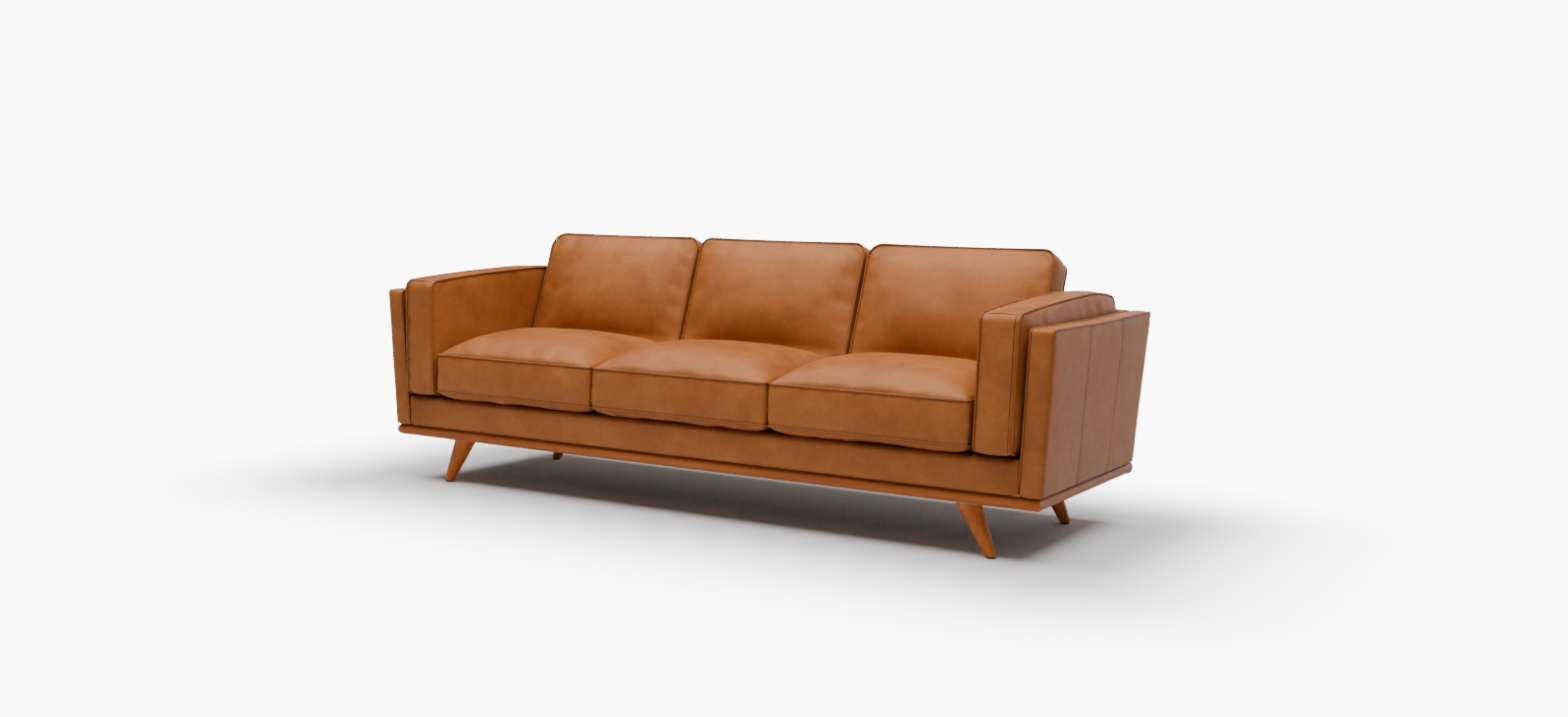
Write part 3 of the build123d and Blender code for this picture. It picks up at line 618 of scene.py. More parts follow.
def wood_group():
    """Long, fine grain with darker pores, running along the vector's X."""
    inputs = {"Vector": None, "Main": (0.3, 0.1, 0.04, 1), "Grain": (0.15, 0.04, 0.02, 1), "Scale": 1.0}
    n, given, out = new_group("Timber grain", inputs)
    scaled = n.vector("SCALE", in_0=given["Vector"], in_Scale=given["Scale"])
    bend = n.noise(scaled, 2.2, 2.0, 0.5)
    aside, upward = n.maths("MULTIPLY", bend, 0.05), n.maths("MULTIPLY", bend, 0.03)
    wander = n.add("ShaderNodeCombineXYZ", in_Y=aside, in_Z=upward).outputs[0]
    shifted = n.vector("ADD", in_0=scaled, in_1=wander)
    lines = n.noise(n.mapped(shifted, in_Scale=(2.0, 70.0, 70.0)), 1.0, 4.0, 0.6)
    bands = n.noise(n.mapped(shifted, in_Scale=(0.9, 14.0, 14.0)), 1.0, 3.0, 0.5)
    pores = n.noise(n.mapped(shifted, in_Scale=(14.0, 420.0, 420.0)), 1.0, 2.0, 0.5)
    base = n.mix(n.spread(lines, 0.38, 0.66, 0.0, 0.55), given["Main"], given["Grain"])
    base = n.mix(n.spread(bands, 0.35, 0.70, 0.0, 0.50), base, given["Grain"])
    base = n.mix(n.spread(pores, 0.56, 0.70, 0.0, 0.55), base, given["Grain"])
    height = n.maths("ADD", n.maths("MULTIPLY", lines, 0.5), n.maths("MULTIPLY", pores, -0.8))
    return n.deliver(out, base, n.spread(lines, 0.3, 0.7, 0.36, 0.52), height)


def weave_group():
    """A plain weave of two crossing threads."""
    inputs = {"Vector": None, "Main": (0.1, 0.1, 0.1, 1), "Dark": (0.02, 0.02, 0.02, 1), "Threads": 400.0}
    n, given, out = new_group("Plain weave", inputs)
    x, y, z = n.add("ShaderNodeSeparateXYZ", in_Vector=given["Vector"]).outputs
    across, along = (
        n.maths("SINE", n.maths("MULTIPLY", n.maths("ADD", flat, z), given["Threads"])) for flat in (x, y)
    )
    height = n.maths("ADD", n.maths("MULTIPLY", n.maths("MULTIPLY", across, along), 0.5), 0.5)
    fuzz = n.noise(given["Vector"], 60.0, 3.0)
    base = n.mix(n.spread(height, 0.1, 0.9, 0.75, 0.0), given["Main"], given["Dark"])
    base = n.mix(n.spread(fuzz, 0.4, 0.7, 0.0, 0.3), base, given["Dark"])
    return n.deliver(out, base, n.spread(fuzz, 0.3, 0.7, 0.75, 0.92), height)


def new_material(name):
    """A material with its nodes and its principled shader's inputs."""
    material = bpy.data.materials.new(name)
    material.use_nodes = True
    return material, Nodes(material.node_tree), material.node_tree.nodes["Principled BSDF"].inputs


def surfaced(name, tree, inputs, bump, distance, turn=(0, 0, 0), shift=(0, 0, 0), **shader):
    """A material whose colour, roughness and bump come from a surface group in object space."""
    material, n, principled = new_material(name)
    place = n.mapped(n.add("ShaderNodeTexCoord").outputs["Object"], in_Rotation=turn, in_Location=shift)
    surface = n.add("ShaderNodeGroup", node_tree=tree, in_Vector=place)
    for key, value in inputs.items():
        surface.inputs[key].default_value = value
    colour, rough, height = surface.outputs
    relief = n.add("ShaderNodeBump", in_Strength=bump, in_Distance=distance, in_Height=height)
    n.feed(principled["Base Color"], colour)
    n.feed(principled["Roughness"], rough)
    n.feed(principled["Normal"], relief.outputs[0])
    for key, value in shader.items():
        principled[key.replace("_", " ")].default_value = value
    return material, n, surface


def leather(name, tree, shift=(0, 0, 0), shade=1.0):
    """Tan leather with shade painted along its seams, from the seam mask."""
    hues = bpy.context.scene.sofa_finish
    named = (("Main", hues.leather), ("Light", hues.leather_light), ("Dark", hues.leather_dark))
    inputs = {label: shaded(hue, shade) for label, hue in named}
    gloss = {"Specular_IOR_Level": 0.36, "Specular_Tint": WARM_GLOSS}
    material, n, surface = surfaced(name, tree, inputs, 0.22, 0.0012, shift=shift, **gloss)
    # The seam mask paints shade beside the welts and seams.
    seam = n.add("ShaderNodeAttribute", attribute_name="seam")
    n.feed(surface.inputs["Seam"], seam.outputs["Fac"])
    return material


def timber(name, tree, turn, shift=(0, 0, 0), shade=1.0):
    """Stained timber whose grain runs along X before it is turned."""
    hues = bpy.context.scene.sofa_finish
    inputs = {"Main": shaded(hues.wood, shade), "Grain": shaded(hues.wood_dark, shade)}
    gloss = {"Specular_IOR_Level": 0.35, "Specular_Tint": WARM_GLOSS}
    return surfaced(name, tree, inputs, 0.25, 0.0006, turn=turn, shift=shift, **gloss)[0]


def plain_timber(name, tree):
    """Pale frame timber."""
    inputs = {"Main": (0.50, 0.32, 0.15, 1), "Grain": (0.30, 0.17, 0.07, 1), "Scale": 0.7}
    return surfaced(name, tree, inputs, 0.3, 0.0008)[0]


def cloth(name, tree, main, dark, threads):
    """A woven cloth."""
    inputs = {"Main": (*main, 1), "Dark": (*dark, 1), "Threads": threads}
    return surfaced(name, tree, inputs, 0.5, 0.0004, Sheen_Weight=0.2)[0]


def speckled(name, grain, dark, light, rough, metallic=0):
    """Bare metal or plastic with faint, uneven brightness and gloss. grain is a scale and a detail."""
    material, n, principled = new_material(name)
    blotches = n.noise(n.add("ShaderNodeTexCoord").outputs["Object"], *grain)
    n.feed(principled["Base Color"], n.mix(blotches, (*dark, 1), (*light, 1)))
    n.feed(principled["Roughness"], n.spread(blotches, 0.3, 0.7, *rough))
    principled["Metallic"].default_value = metallic
    return material


class SOFA_OT_finishes(bpy.types.Operator):
    """Builds every material"""

    bl_idname = "sofa.finishes"
    bl_label = "Finishes"

    def execute(self, context):
        hide, grain, weave = leather_group(), wood_group(), weave_group()
        quarter = math.pi / 2
        made = {
            "leather": leather("Tan leather", hide),
            "leather_seat": leather("Tan leather, seats", hide, (1.7, 0.4, 2.2)),
            "leather_back": leather("Tan leather, backs", hide, (4.1, 1.3, 0.7)),
            # The piping is a darker copy of the leather, 0.78 times, as painted shade for the groove it sits
            # in.
            "leather_welt": leather("Tan leather, piping", hide, (2.9, 3.1, 1.9), 0.78),
            # The thin seam lines are a much darker copy of the leather, 0.45 times, as painted shade in the
            # seams' creases.
            "leather_seam": leather("Tan leather, seams", hide, (0.9, 2.1, 3.9), 0.45),
            "timber_x": timber("Stained timber, long rails", grain, (0, 0, 0)),
            "timber_y": timber("Stained timber, side rails", grain, (0, 0, quarter), (0.3, 0.7, 0.1)),
            # The legs' timber is lightened 1.5 times as painted light, in place of the light that the sofa's
            # shadow keeps off them.
            "timber_z_painted_light": timber("Stained timber, legs", grain, (0, quarter, 0), (0.2, 0.5, 0.9), 1.5),
            "frame": plain_timber("Frame timber", grain),
            "deck": cloth("Deck cloth", weave, (0.13, 0.065, 0.03), (0.05, 0.02, 0.01), 2400.0),
            "dust": cloth("Dust cloth", weave, (0.02, 0.02, 0.02), (0.006, 0.006, 0.006), 3000.0),
            "webbing": cloth("Webbing", weave, (0.10, 0.09, 0.08), (0.03, 0.03, 0.03), 1500.0),
            "zip": cloth("Zip tape", weave, (0.11, 0.05, 0.025), (0.04, 0.02, 0.01), 3200.0),
            "foam": cloth("Foam", weave, (0.75, 0.70, 0.50), (0.6, 0.55, 0.38), 5000.0),
            "steel": speckled("Plated steel", (60.0, 4.0), (0.42, 0.43, 0.45), (0.62,) * 3, (0.28, 0.45), 1),
            "nylon": speckled("Black nylon", (900.0, 2.0), (0.012, 0.012, 0.013), (0.03,) * 3, (0.45, 0.6)),
        }
        for key, material in made.items():
            material["sofa_key"] = key
        return {"FINISHED"}


def finish(key):
    """The material of that short name."""
    return next(m for m in bpy.data.materials if m.get("sofa_key") == key)


# ---- Seat cushions ----


def spans(kind):
    """Name and low and high corners of each cushion in a row, from its CAD cover."""
    for name in NAMES:
        low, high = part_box(f"{kind}_cushion_cover_{name}")
        yield name, low, high


def loose_cushion(kind, core, name, cuts, core_cuts, form, place, seed, fill, radius, settle):
    """A loose cushion with its core and piping. settle puts blown up points back where they must stay."""
    body, cover = f"{kind}_cushion_{name}", f"{kind}_cushion_cover_{name}"
    low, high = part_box(cover)
    piece = padded_piece(body, cuts, form, place, seed, CUSHION_CAP, 0.0022)
    co = points_of(piece)
    settle(co)
    co[:, 0] = np.clip(co[:, 0], low.x - SIDE_SPARE, high.x + SIDE_SPARE)
    set_points(piece, co)
    subdivide(piece)
    finish_piece(piece, body, "leather", finish(f"leather_{kind}"), cover)
    node = f"{kind}_cushion_core_{name}"
    core_piece(f"{kind}_{core}_{name}", core_cuts, form, place, body, node, CORE_INSET)
    piping(f"{kind}_welt_{name}", form, place, radius, body)


class SOFA_OT_seat_cushions(bpy.types.Operator):
    """Builds the three seat cushions with their piping"""

    bl_idname = "sofa.seat_cushions"
    bl_label = "Seat cushions"

    def execute(self, context):
        cushions = context.scene.sofa_cushions
        for index, (name, low, high) in enumerate(spans("seat")):
            self.build(cushions, index, name, low, high)
        return {"FINISHED"}

    def build(self, cushions, index, name, low, high):
        base = low.z + TOUCH
        lower = base + cushions.seat_belly + 0.003
        upper = cushions.seat_welt_height
        middle = Vector(((low.x + high.x) / 2, (low.y + high.y) / 2, (lower + upper) / 2))
        front = low.y - 0.001
        half_depth = (high.y - front) / 2
        centre_y = front + half_depth
        # The rail's top ends here, and in front of it the underside hangs a little lower.
        rail_edge, hang_depth = -0.397, 0.011
        # The back cushion stands on the seat behind this line and presses it down to this height.
        foot_edge, foot_height = 0.085, 0.4425
        form = dict(
            half=((high.x - low.x) / 2 - 0.003, half_depth - 0.002, (upper - lower) / 2),
            radii=(0.014, 0.014, 0.014, 0.014),
            crowns=(cushions.seat_crown, cushions.seat_belly + 0.012), swell=0.0035, power=(3.4, 5.0),
            fullness=(0.60, 0.36), pull=0.002, groove=0.0026,
        )

        def place(local, inset=0.0):
            x = middle.x + local[:, 0]
            y = centre_y + local[:, 1]
            z = middle.z + local[:, 2]
            # The back cushion presses the rear flat, and the deck flattens the base.
            press = smooth(y, -0.12, 0.075)
            limit = lerp(upper + 0.052, foot_height, smooth(y, -0.02, foot_edge)) - inset
            hang = (0.0 if inset else hang_depth) * smooth(-y, 0.396, 0.412)
            lowest = base + inset - hang * (1 - (local[:, 0] / form["half"][0]) ** 4)
            z = np.where(z > middle.z, lerp(z, np.minimum(z, limit), press), np.maximum(z, lowest))
            return np.column_stack([x, np.minimum(y, high.y - 0.0015 - inset), z])

        def settle(co):
            co[:, 2] = np.maximum(co[:, 2], np.where(co[:, 1] > rail_edge, base, base - hang_depth))
            co[:, 2] = np.where(co[:, 1] > foot_edge, np.minimum(co[:, 2], foot_height + 0.001), co[:, 2])

        cuts, radius = ((50, 50, 14), (26, 26, 6)), cushions.welt_radius
        loose_cushion("seat", "foam", name, *cuts, form, place, 3 + index, 0.85, radius, settle)


# ---- Back cushions ----

# Corner radii: top right, top left, bottom left and bottom right.
BACK_CORNERS = {
    "left": (0.034, 0.055, 0.045, 0.050),
    "centre": (0.036, 0.036, 0.050, 0.050),
    "right": (0.034, 0.046, 0.050, 0.045),
}


class SOFA_OT_back_cushions(bpy.types.Operator):
    """Builds the three back cushions with their piping"""

    bl_idname = "sofa.back_cushions"
    bl_label = "Back cushions"

    def execute(self, context):
        cushions = context.scene.sofa_cushions
        for index, (name, low, high) in enumerate(spans("back")):
            self.build(cushions, index, name, low, high)
        return {"FINISHED"}

    def build(self, cushions, index, name, low, high):
        lean, thickness = cushions.back_lean, cushions.back_thickness
        along = np.array([0, math.sin(lean), math.cos(lean)])
        outward = np.array([0, -math.cos(lean), math.sin(lean)])
        rear_top = np.array([0, high.y, high.z - thickness * math.sin(lean)])
        top = rear_top + outward * thickness
        foot = low.z + TOUCH
        height = (top[2] - foot) / math.cos(lean) + 0.022
        centre = top - along * height / 2 - outward * thickness / 2
        middle_x = (low.x + high.x) / 2
        form = dict(
            half=((high.x - low.x) / 2 - 0.0055, height / 2, thickness / 2), radii=BACK_CORNERS[name],
            crowns=(cushions.back_crown, 0.009), swell=0.0055, power=(2.2, 2.4), fullness=(0.80, 0.7),
            tuck=1.5, pull=0.003, groove=0.0026,
        )

        def place(local, inset=0.0):
            co = centre + np.outer(local[:, 1], along) + np.outer(local[:, 2], outward)
            co[:, 0] = middle_x + local[:, 0]
            # The foot flattens where it stands on the seat.
            sink = np.clip(foot + 0.02 - co[:, 2], 0, None)
            co[:, 2] = np.maximum(co[:, 2] + sink * 0.35, foot + inset)
            return co

        def settle(co):
            co[:, 2] = np.clip(co[:, 2], foot, None)

        cuts, radius = ((46, 40, 12), (24, 22, 6)), cushions.welt_radius
        loose_cushion("back", "filling", name, *cuts, form, place, 13 + index, 0.8, radius, settle)


# ---- Arm pads ----


def arm_arch(t):
    """Rise of an arm pad's top from its front end, t = 0, to its rear, as shares of its crest."""
    steps = np.linspace(0, 1, 41)
    rises = np.interp(steps, [0, 0.12, 0.3, 0.5, 0.72, 0.86, 1.0], [0, 0.27, 0.56, 0.79, 1.0, 0.86, 0.3])
    for _ in range(8):
        rises[1:-1] = (rises[:-2] + rises[1:-1] * 2 + rises[2:]) / 4
    return np.interp(t, steps, rises)


class SOFA_OT_arm_pads(bpy.types.Operator):
    """Builds the padded inner arms with their piping"""

    bl_idname = "sofa.arm_pads"
    bl_label = "Arm pads"

    def execute(self, context):
        for side, s in SIDES.items():
            self.build(context.scene, side, s)
        return {"FINISHED"}

    def build(self, scene, side, s):
        low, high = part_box(f"arm_pad_cover_{side}")
        cushions, walls = scene.sofa_cushions, scene.sofa_walls
        front, rear = low.y + 0.002, high.y + 0.008
        bottom, end_top = low.z + 0.013, high.z - walls.arm_crest - 0.0025
        inner, outer = sorted((abs(low.x), abs(high.x)))
        inner, outer = inner + 0.001, outer - 0.0155
        form = dict(
            half=((rear - front) / 2, (end_top - bottom) / 2, (outer - inner) / 2),
            radii=(0.055, 0.024, 0.018, 0.018), crowns=(0.0165, 0.006), swell=0.005, power=(6.0, 3.0),
            fullness=(0.45, 0.8), crowd=0.80, groove=0.0026,
        )
        centre_y, centre_z, centre_x = (rear + front) / 2, (end_top + bottom) / 2, (outer + inner) / 2

        def place(local, inset=0.0):
            y, z, x = centre_y + local[:, 0], centre_z + local[:, 1], centre_x + local[:, 2]
            up = np.clip((z - bottom) / (end_top - bottom), 0, 1.1)
            t = np.clip((y - front) / (rear - front), 0, 1)
            arch = walls.arm_crest * arm_arch(t)
            z = z + arch * up**1.5
            # The rear end leans with the back of the sofa.
            y = y - (1 - up) * 0.040 * smooth(t, 0.7, 1.0)
            x = x + up * 0.006
            return np.column_stack([s * x, y, z])

        piece = padded_piece(f"arm_pad_{side}", (60, 34, 12), form, place, 23 + s, ARM_PAD_CAP, 0.0016)
        subdivide(piece)
        finish_piece(piece, "frame", "leather", finish("leather"), f"arm_pad_cover_{side}")
        core_piece(f"arm_foam_{side}", (30, 18, 6), form, place, "frame", f"arm_pad_core_{side}", 0.006)
        piping(f"arm_pad_welt_{side}", form, place, cushions.welt_radius, "frame", 220)
        # A plain seam runs beside the outer welt down the front, and another joins the top to the front.
        beside = 1 - 0.011 / form["half"][2]
        proud = 0.0002
        seams = [
            (outline(form, place, beside, proud, 90, (0.618, 0.882)), False),
            (cross_line(form, place, 0.6215, proud), False),
        ]
        # These seam lines are drawn in a darker copy of the leather as painted shade.
        welt(f"arm_pad_seam_{side}", seams, SEAM_RADIUS, "frame", finish("leather_seam"))


# ---- Outer walls ----


class SOFA_OT_outer_arms(bpy.types.Operator):
    """Builds the padded outer arms with their seams and piping"""

    bl_idname = "sofa.outer_arms"
    bl_label = "Outer arms"

    def execute(self, context):
        for side, s in SIDES.items():
            self.build(context.scene, side, s)
        return {"FINISHED"}

    def build(self, scene, side, s):
        low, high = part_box(f"outer_arm_{side}")
        cushions, walls = scene.sofa_cushions, scene.sofa_walls
        inner, top_outer = sorted((abs(low.x), abs(high.x)))
        lean = top_outer - inner - WALL
        bottom = low.z + 0.002
        top_front, top_rear = high.z - 0.011, high.z - 0.003
        front_low, front_high = low.y + 0.018, low.y
        rear_low, rear_high = high.y - WALL_LEAN, high.y
        centre_y, half_y = (low.y + high.y) / 2, (high.y - low.y) / 2
        half_z = (top_front - bottom) / 2
        seams = [-0.135 - centre_y, 0.140 - centre_y]
        form = dict(
            half=(half_y, half_z, WALL / 2), radii=(0.028, 0.013, 0.006, 0.006),
            crowns=(walls.wall_swell, 0.002), swell=0.003, power=(6.0, 6.0), fullness=(0.8, 0.8),
            crowd=0.80, seams=seams, seam_depth=walls.seam_depth, groove=0.0018,
        )

        def soft_ends(local):
            """The outer upright corners carry no piping and turn over softly."""
            for end in (-1, 1):
                in_from_end, in_from_face = half_y - end * local[:, 0], WALL / 2 - local[:, 2]
                in_from_end, in_from_face = round_corner(in_from_end, in_from_face, 0.013)
                local[:, 0] = end * (half_y - in_from_end)
                local[:, 2] = WALL / 2 - in_from_face
            return local

        def place(local):
            share = (local[:, 1] + half_z) / (2 * half_z)
            t = (local[:, 0] + half_y) / (2 * half_y)
            # The top rises to the rear and dips a little in the middle.
            rise = (top_rear - top_front) * t - 0.004 * np.sin(math.pi * t) ** 2
            z = bottom + (local[:, 1] + half_z)
            z = z + np.clip(share, 0, 1) ** 6 * rise
            x = top_outer - WALL / 2 - lean * (1 - share) + local[:, 2]
            y = lerp(lerp(front_low, front_high, share), lerp(rear_low, rear_high, share), t)
            return np.column_stack([s * x, y, z])

        name = f"outer_arm_{side}_leather"
        piece = padded_piece(name, (64, 34, 8), form, place, 33 + s, 0, 0.0011, soft_ends)
        co = points_of(piece)
        # Shade is also painted along the plain seams of the outer face.
        lines = [np.exp(-(((co[:, 1] - seam - centre_y) / 0.004) ** 2)) for seam in seams]
        outside = s * co[:, 0] > top_outer - lean - 0.03
        welts = np.zeros(len(co), np.float32)
        piece.data.attributes["seam"].data.foreach_get("value", welts)
        store_mask(piece, "seam", np.maximum(welts, np.maximum(*lines) * outside))
        subdivide(piece)
        finish_piece(piece, "frame", "leather", finish("leather"), f"outer_arm_{side}")
        out = cushions.welt_radius * 0.3
        # Outer piping runs over the top only, and inner piping also comes down the front.
        loops = [
            (outline(form, lambda local: place(soft_ends(local)), 1, out, 120, (0.376, 0.624)), False),
            (outline(form, place, -1, out, 160, (0.374, 0.868)), False),
        ]
        welt(f"outer_arm_welt_{side}", loops, cushions.welt_radius * 0.9, "frame", finish("leather_welt"))


class SOFA_OT_outer_back(bpy.types.Operator):
    """Builds the padded outer back and the padded slope inside it"""

    bl_idname = "sofa.outer_back"
    bl_label = "Outer back"

    def execute(self, context):
        self.build_back(context.scene)
        self.build_inside()
        return {"FINISHED"}

    def build_back(self, scene):
        low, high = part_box("outer_back")
        cushions, walls = scene.sofa_cushions, scene.sofa_walls
        # Half lengths along the foot, between the outer arms, and along the top.
        half_low, half_top = 1.047, high.x - 0.0005
        bottom, top = low.z + 0.002, high.z - 0.003
        half_z = (top - bottom) / 2
        seams = [-half_low / 3, half_low / 3]
        form = dict(
            half=(half_low, half_z, WALL / 2), radii=(0.004, 0.004, 0.004, 0.004),
            crowns=(walls.wall_swell, 0.002), swell=0.003, power=(8.0, 8.0), fullness=(0.8, 0.8),
            crowd=0.75, seams=seams, seam_depth=walls.seam_depth, groove=0.0018,
        )

        def place(local):
            share = (local[:, 1] + half_z) / (2 * half_z)
            x = local[:, 0] * lerp(1.0, half_top / half_low, share)
            y = high.y - WALL / 2 - WALL_LEAN * (1 - share) + local[:, 2]
            return np.column_stack([x, y, bottom + local[:, 1] + half_z])

        piece = padded_piece("outer_back_leather", (90, 30, 8), form, place, 43, 0, 0.0012)
        subdivide(piece)
        finish_piece(piece, "frame", "leather", finish("leather"), "outer_back")
        out = cushions.welt_radius * 0.3
        loops = [(outline(form, place, level, out, 160, (0.376, 0.624)), False) for level in (-1, 1)]
        welt("outer_back_welt", loops, cushions.welt_radius * 0.9, "frame", finish("leather_welt"))

    def build_inside(self):
        low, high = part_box("inside_back_cover")
        bottom, top = low.z + 0.001, high.z
        half_z = (top - bottom) / 2
        # Only the form's shares of its depth count, because place spreads them over the slope.
        half_w = 0.05
        form = dict(
            half=(high.x - 0.001, half_z, half_w), radii=(0.02, 0.02, 0.006, 0.006),
            crowns=(0.004, 0.0), swell=0.002, power=(6.0, 6.0), fullness=(0.6, 0.6), crowd=0.7,
            groove=0.0,
        )
        rear_low, rear_high = 0.3255, high.y - 0.002

        def place(local, inset=0.0):
            share = np.clip((local[:, 1] + half_z) / (2 * half_z), 0, 1)
            front = np.interp(share, [0, 0.48, 1], [low.y + 0.002, low.y + 0.026, 0.262])
            rear = lerp(rear_low, rear_high, share)
            depth = np.clip((local[:, 2] + half_w) / (2 * half_w), -0.05, 1.08)
            return np.column_stack([local[:, 0], lerp(rear, front, depth), bottom + local[:, 1] + half_z])

        piece = padded_piece("inside_back_leather", (60, 24, 8), form, place, 47, 0, 0.0015)
        finish_piece(piece, "frame", "leather", finish("leather"), "inside_back_cover")
        core_piece("inside_back_filling", (30, 12, 4), form, place, "frame", "inside_back_foam", CORE_INSET)


class SOFA_OT_front_rail(bpy.types.Operator):
    """Builds the padded leather over the front rail"""

    bl_idname = "sofa.front_rail"
    bl_label = "Front rail"

    def execute(self, context):
        low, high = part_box("front_rail_cover")
        walls = context.scene.sofa_walls
        bottom, top = low.z + 0.002, high.z - 0.001
        half_z = (top - bottom) / 2
        depth = 0.038
        seams = [-0.305, 0.305]
        form = dict(
            half=(high.x - 0.0005, half_z, depth / 2), radii=(0.003, 0.003, 0.003, 0.003),
            crowns=(0.003, 0.0), swell=0.001, power=(4.0, 4.0), fullness=(0.7, 0.7), crowd=0.6,
            seams=seams, seam_depth=walls.seam_depth, groove=0.0,
        )

        def place(local):
            share = np.clip((local[:, 1] + half_z) / (2 * half_z), 0, 1)
            # The face leans a little, and its top edge turns over softly.
            over = np.clip(local[:, 1] - (half_z - 0.012), 0, None) / 0.012
            y = low.y + 0.0045 - share * 0.0045 + depth / 2 - local[:, 2]
            y = y + over**2 * 0.007 * (local[:, 2] > 0)
            return np.column_stack([local[:, 0], y, bottom + local[:, 1] + half_z])

        piece = padded_piece("front_rail_leather", (90, 14, 6), form, place, 53, 0, 0.0011)
        subdivide(piece)
        finish_piece(piece, "frame", "leather", finish("leather"), "front_rail_cover")
        return {"FINISHED"}


# ---- CAD pieces that keep their shape ----


class SOFA_OT_base_finishes(bpy.types.Operator):
    """Gives the wooden base, the frame and the hardware their finishes"""

    bl_idname = "sofa.base_finishes"
    bl_label = "Base and frame finishes"

    def execute(self, context):
        keys = {
            "plinth_front_rail": "timber_x",
            "plinth_rear_rail": "timber_x",
            "plinth_left_rail": "timber_y",
            "plinth_right_rail": "timber_y",
            "plinth_stretchers": "timber_y",
            "seat_deck": "deck",
            "dust_cover": "dust",
            "back_webbing": "webbing",
            "leg_glides": "nylon",
        }
        metal = ("leg_plates", "leg_plate_screws", "leg_hanger_bolts", "frame_screws", "arm_bolts")
        metal += ("seat_springs", "spring_clips")
        for name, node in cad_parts.items():
            if name in keys:
                key = keys[name]
            elif name in metal:
                key = "steel"
            elif name.startswith("leg_"):
                key = "timber_z_painted_light"
            elif "_zip_" in name:
                key = "zip"
            elif "_core_" in name or "_foam" in name:
                key = "foam"
            else:
                key = "frame"
            node.data.materials.clear()
            node.data.materials.append(finish(key))
        return {"FINISHED"}


# ---- Stage ----


def area_light(name, place, target, size, power):
    """A soft panel light that faces its target."""
    lamp = bpy.data.lights.new(name, "AREA")
    lamp.shape = "RECTANGLE"
    lamp.size, lamp.size_y = size
    lamp.energy = power
    holder = bpy.data.objects.new(name, lamp)
    holder.location = place
    holder.rotation_euler = (Vector(target) - Vector(place)).to_track_quat("-Z", "Y").to_euler()
    holder.visible_camera = False
    bpy.context.collection.objects.link(holder)


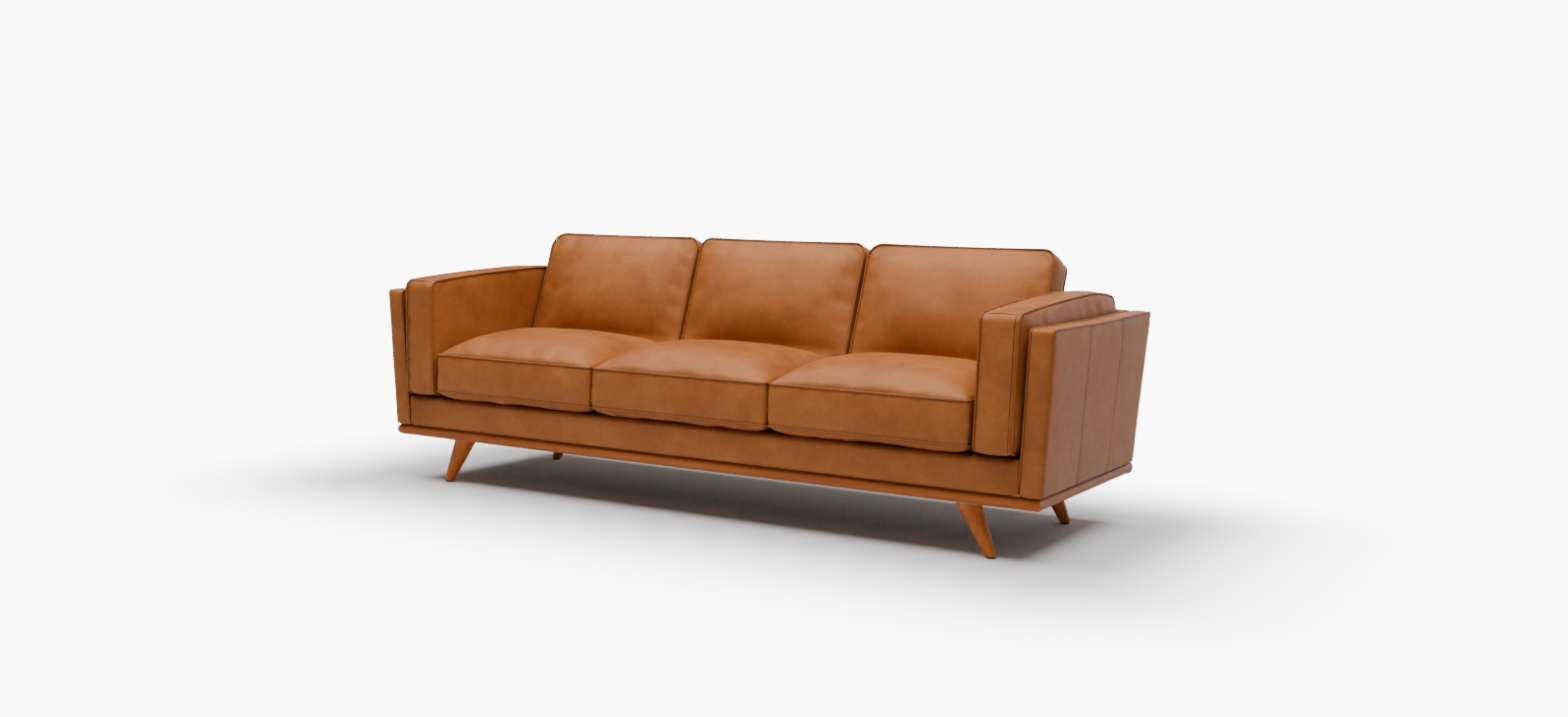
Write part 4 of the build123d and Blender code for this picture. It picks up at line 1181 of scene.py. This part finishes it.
class SOFA_OT_stage(bpy.types.Operator):
    """Builds the floor, the lights and the camera"""

    bl_idname = "sofa.stage"
    bl_label = "Stage"

    def execute(self, context):
        stage = context.scene.sofa_stage
        self.floor()
        self.surroundings(context.scene, stage)
        area_light("top_panel", (0.0, -0.8, 4.3), (0, 0.0, 0.3), (7.0, 4.6), stage.top_light)
        area_light("rear_panel", (1.5, 5.5, 1.6), (0.3, 0, 0.5), (6.0, 3.0), stage.rear_light)
        self.camera(context.scene, stage)
        return {"FINISHED"}

    def floor(self):
        """A pale disc that fades into its surroundings."""
        deselect()
        bpy.ops.mesh.primitive_circle_add(vertices=128, radius=7, fill_type="NGON", location=(0, 0, 0))
        floor = bpy.context.object
        floor.name = "floor"
        material, n, principled = new_material("Pale floor")
        principled["Roughness"].default_value = 0.9
        principled["Specular IOR Level"].default_value = 0.1
        place = n.add("ShaderNodeTexCoord").outputs["Object"]
        # Distance outside the sofa's own footprint.
        half = (CAD_BOX[1] - CAD_BOX[0]) / 2
        past = n.vector("SUBTRACT", in_0=n.vector("ABSOLUTE", in_0=place), in_1=(half.x, half.y, 0))
        past = n.vector("MAXIMUM", in_0=past, in_1=(0, 0, 0))
        reach = n.add("ShaderNodeVectorMath", operation="LENGTH", in_0=past).outputs["Value"]
        fade = n.spread(reach, 0.06, 0.95, 1.0, 0.0)
        fade.node.interpolation_type = "SMOOTHSTEP"
        # Only the camera sees the floor pale and fading, so it lights the sofa's sides all over.
        seen = n.add("ShaderNodeLightPath").outputs["Is Camera Ray"]
        n.feed(principled["Alpha"], n.maths("MAXIMUM", fade, n.maths("SUBTRACT", 1.0, seen)))
        n.feed(principled["Base Color"], n.spread(seen, 0.0, 1.0, 0.66, 0.88))
        floor.data.materials.append(material)

    def surroundings(self, scene, stage):
        """A white backdrop that gives the sofa only a dim light from all round."""
        world = bpy.data.worlds.new("Studio")
        world.use_nodes = True
        n = Nodes(world.node_tree)
        background = world.node_tree.nodes["Background"]
        background.inputs["Color"].default_value = (1, 1, 1, 1)
        seen = n.add("ShaderNodeLightPath").outputs["Is Camera Ray"]
        n.feed(background.inputs["Strength"], n.spread(seen, 0.0, 1.0, stage.dome, stage.horizon))
        scene.world = world

    def camera(self, scene, stage):
        data = bpy.data.cameras.new("camera")
        data.lens, data.sensor_width = stage.lens, 36.0
        data.shift_x, data.shift_y = 0.0622, 0.0241
        data.clip_start, data.clip_end = 0.05, 100
        holder = bpy.data.objects.new("camera", data)
        turn, dip, roll = stage.camera_turn, stage.camera_dip, stage.camera_roll
        ahead = Vector((-math.sin(turn) * math.cos(dip), math.cos(turn) * math.cos(dip), -math.sin(dip)))
        right = ahead.cross(Vector((0, 0, 1))).normalized()
        up = right.cross(ahead)
        across = right * math.cos(roll) + up * math.sin(roll)
        upward = up * math.cos(roll) - right * math.sin(roll)
        matrix = Matrix((across, upward, -ahead)).transposed().to_4x4()
        matrix.translation = Vector(stage.camera_place)
        holder.matrix_world = matrix
        bpy.context.collection.objects.link(holder)
        scene.camera = holder


# ---- Panel and registration ----

STEPS = (
    SOFA_OT_finishes,
    SOFA_OT_base_finishes,
    SOFA_OT_outer_arms,
    SOFA_OT_outer_back,
    SOFA_OT_front_rail,
    SOFA_OT_arm_pads,
    SOFA_OT_seat_cushions,
    SOFA_OT_back_cushions,
    SOFA_OT_stage,
)


class SOFA_PT_panel(bpy.types.Panel):
    """Lists the sofa's building steps"""

    bl_idname = "SOFA_PT_panel"
    bl_label = "Leather sofa"
    bl_space_type = "VIEW_3D"
    bl_region_type = "UI"
    bl_category = "Sofa"

    def draw(self, context):
        for step in STEPS:
            self.layout.operator(step.bl_idname)


SETTINGS = {
    "sofa_cushions": SofaCushionSettings,
    "sofa_walls": SofaFrameSettings,
    "sofa_finish": SofaFinishSettings,
    "sofa_stage": SofaStageSettings,
}


def register():
    for group in SETTINGS.values():
        bpy.utils.register_class(group)
    for step in STEPS:
        bpy.utils.register_class(step)
    bpy.utils.register_class(SOFA_PT_panel)
    for name, group in SETTINGS.items():
        setattr(bpy.types.Scene, name, PointerProperty(type=group))


def unregister():
    for name in SETTINGS:
        delattr(bpy.types.Scene, name)
    bpy.utils.unregister_class(SOFA_PT_panel)
    for step in reversed(STEPS):
        bpy.utils.unregister_class(step)
    for group in reversed(SETTINGS.values()):
        bpy.utils.unregister_class(group)


def main():
    register()
    for step in STEPS:
        group, operator = step.bl_idname.split(".")
        getattr(getattr(bpy.ops, group), operator)()
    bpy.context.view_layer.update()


if __name__ == "__main__":
    main()
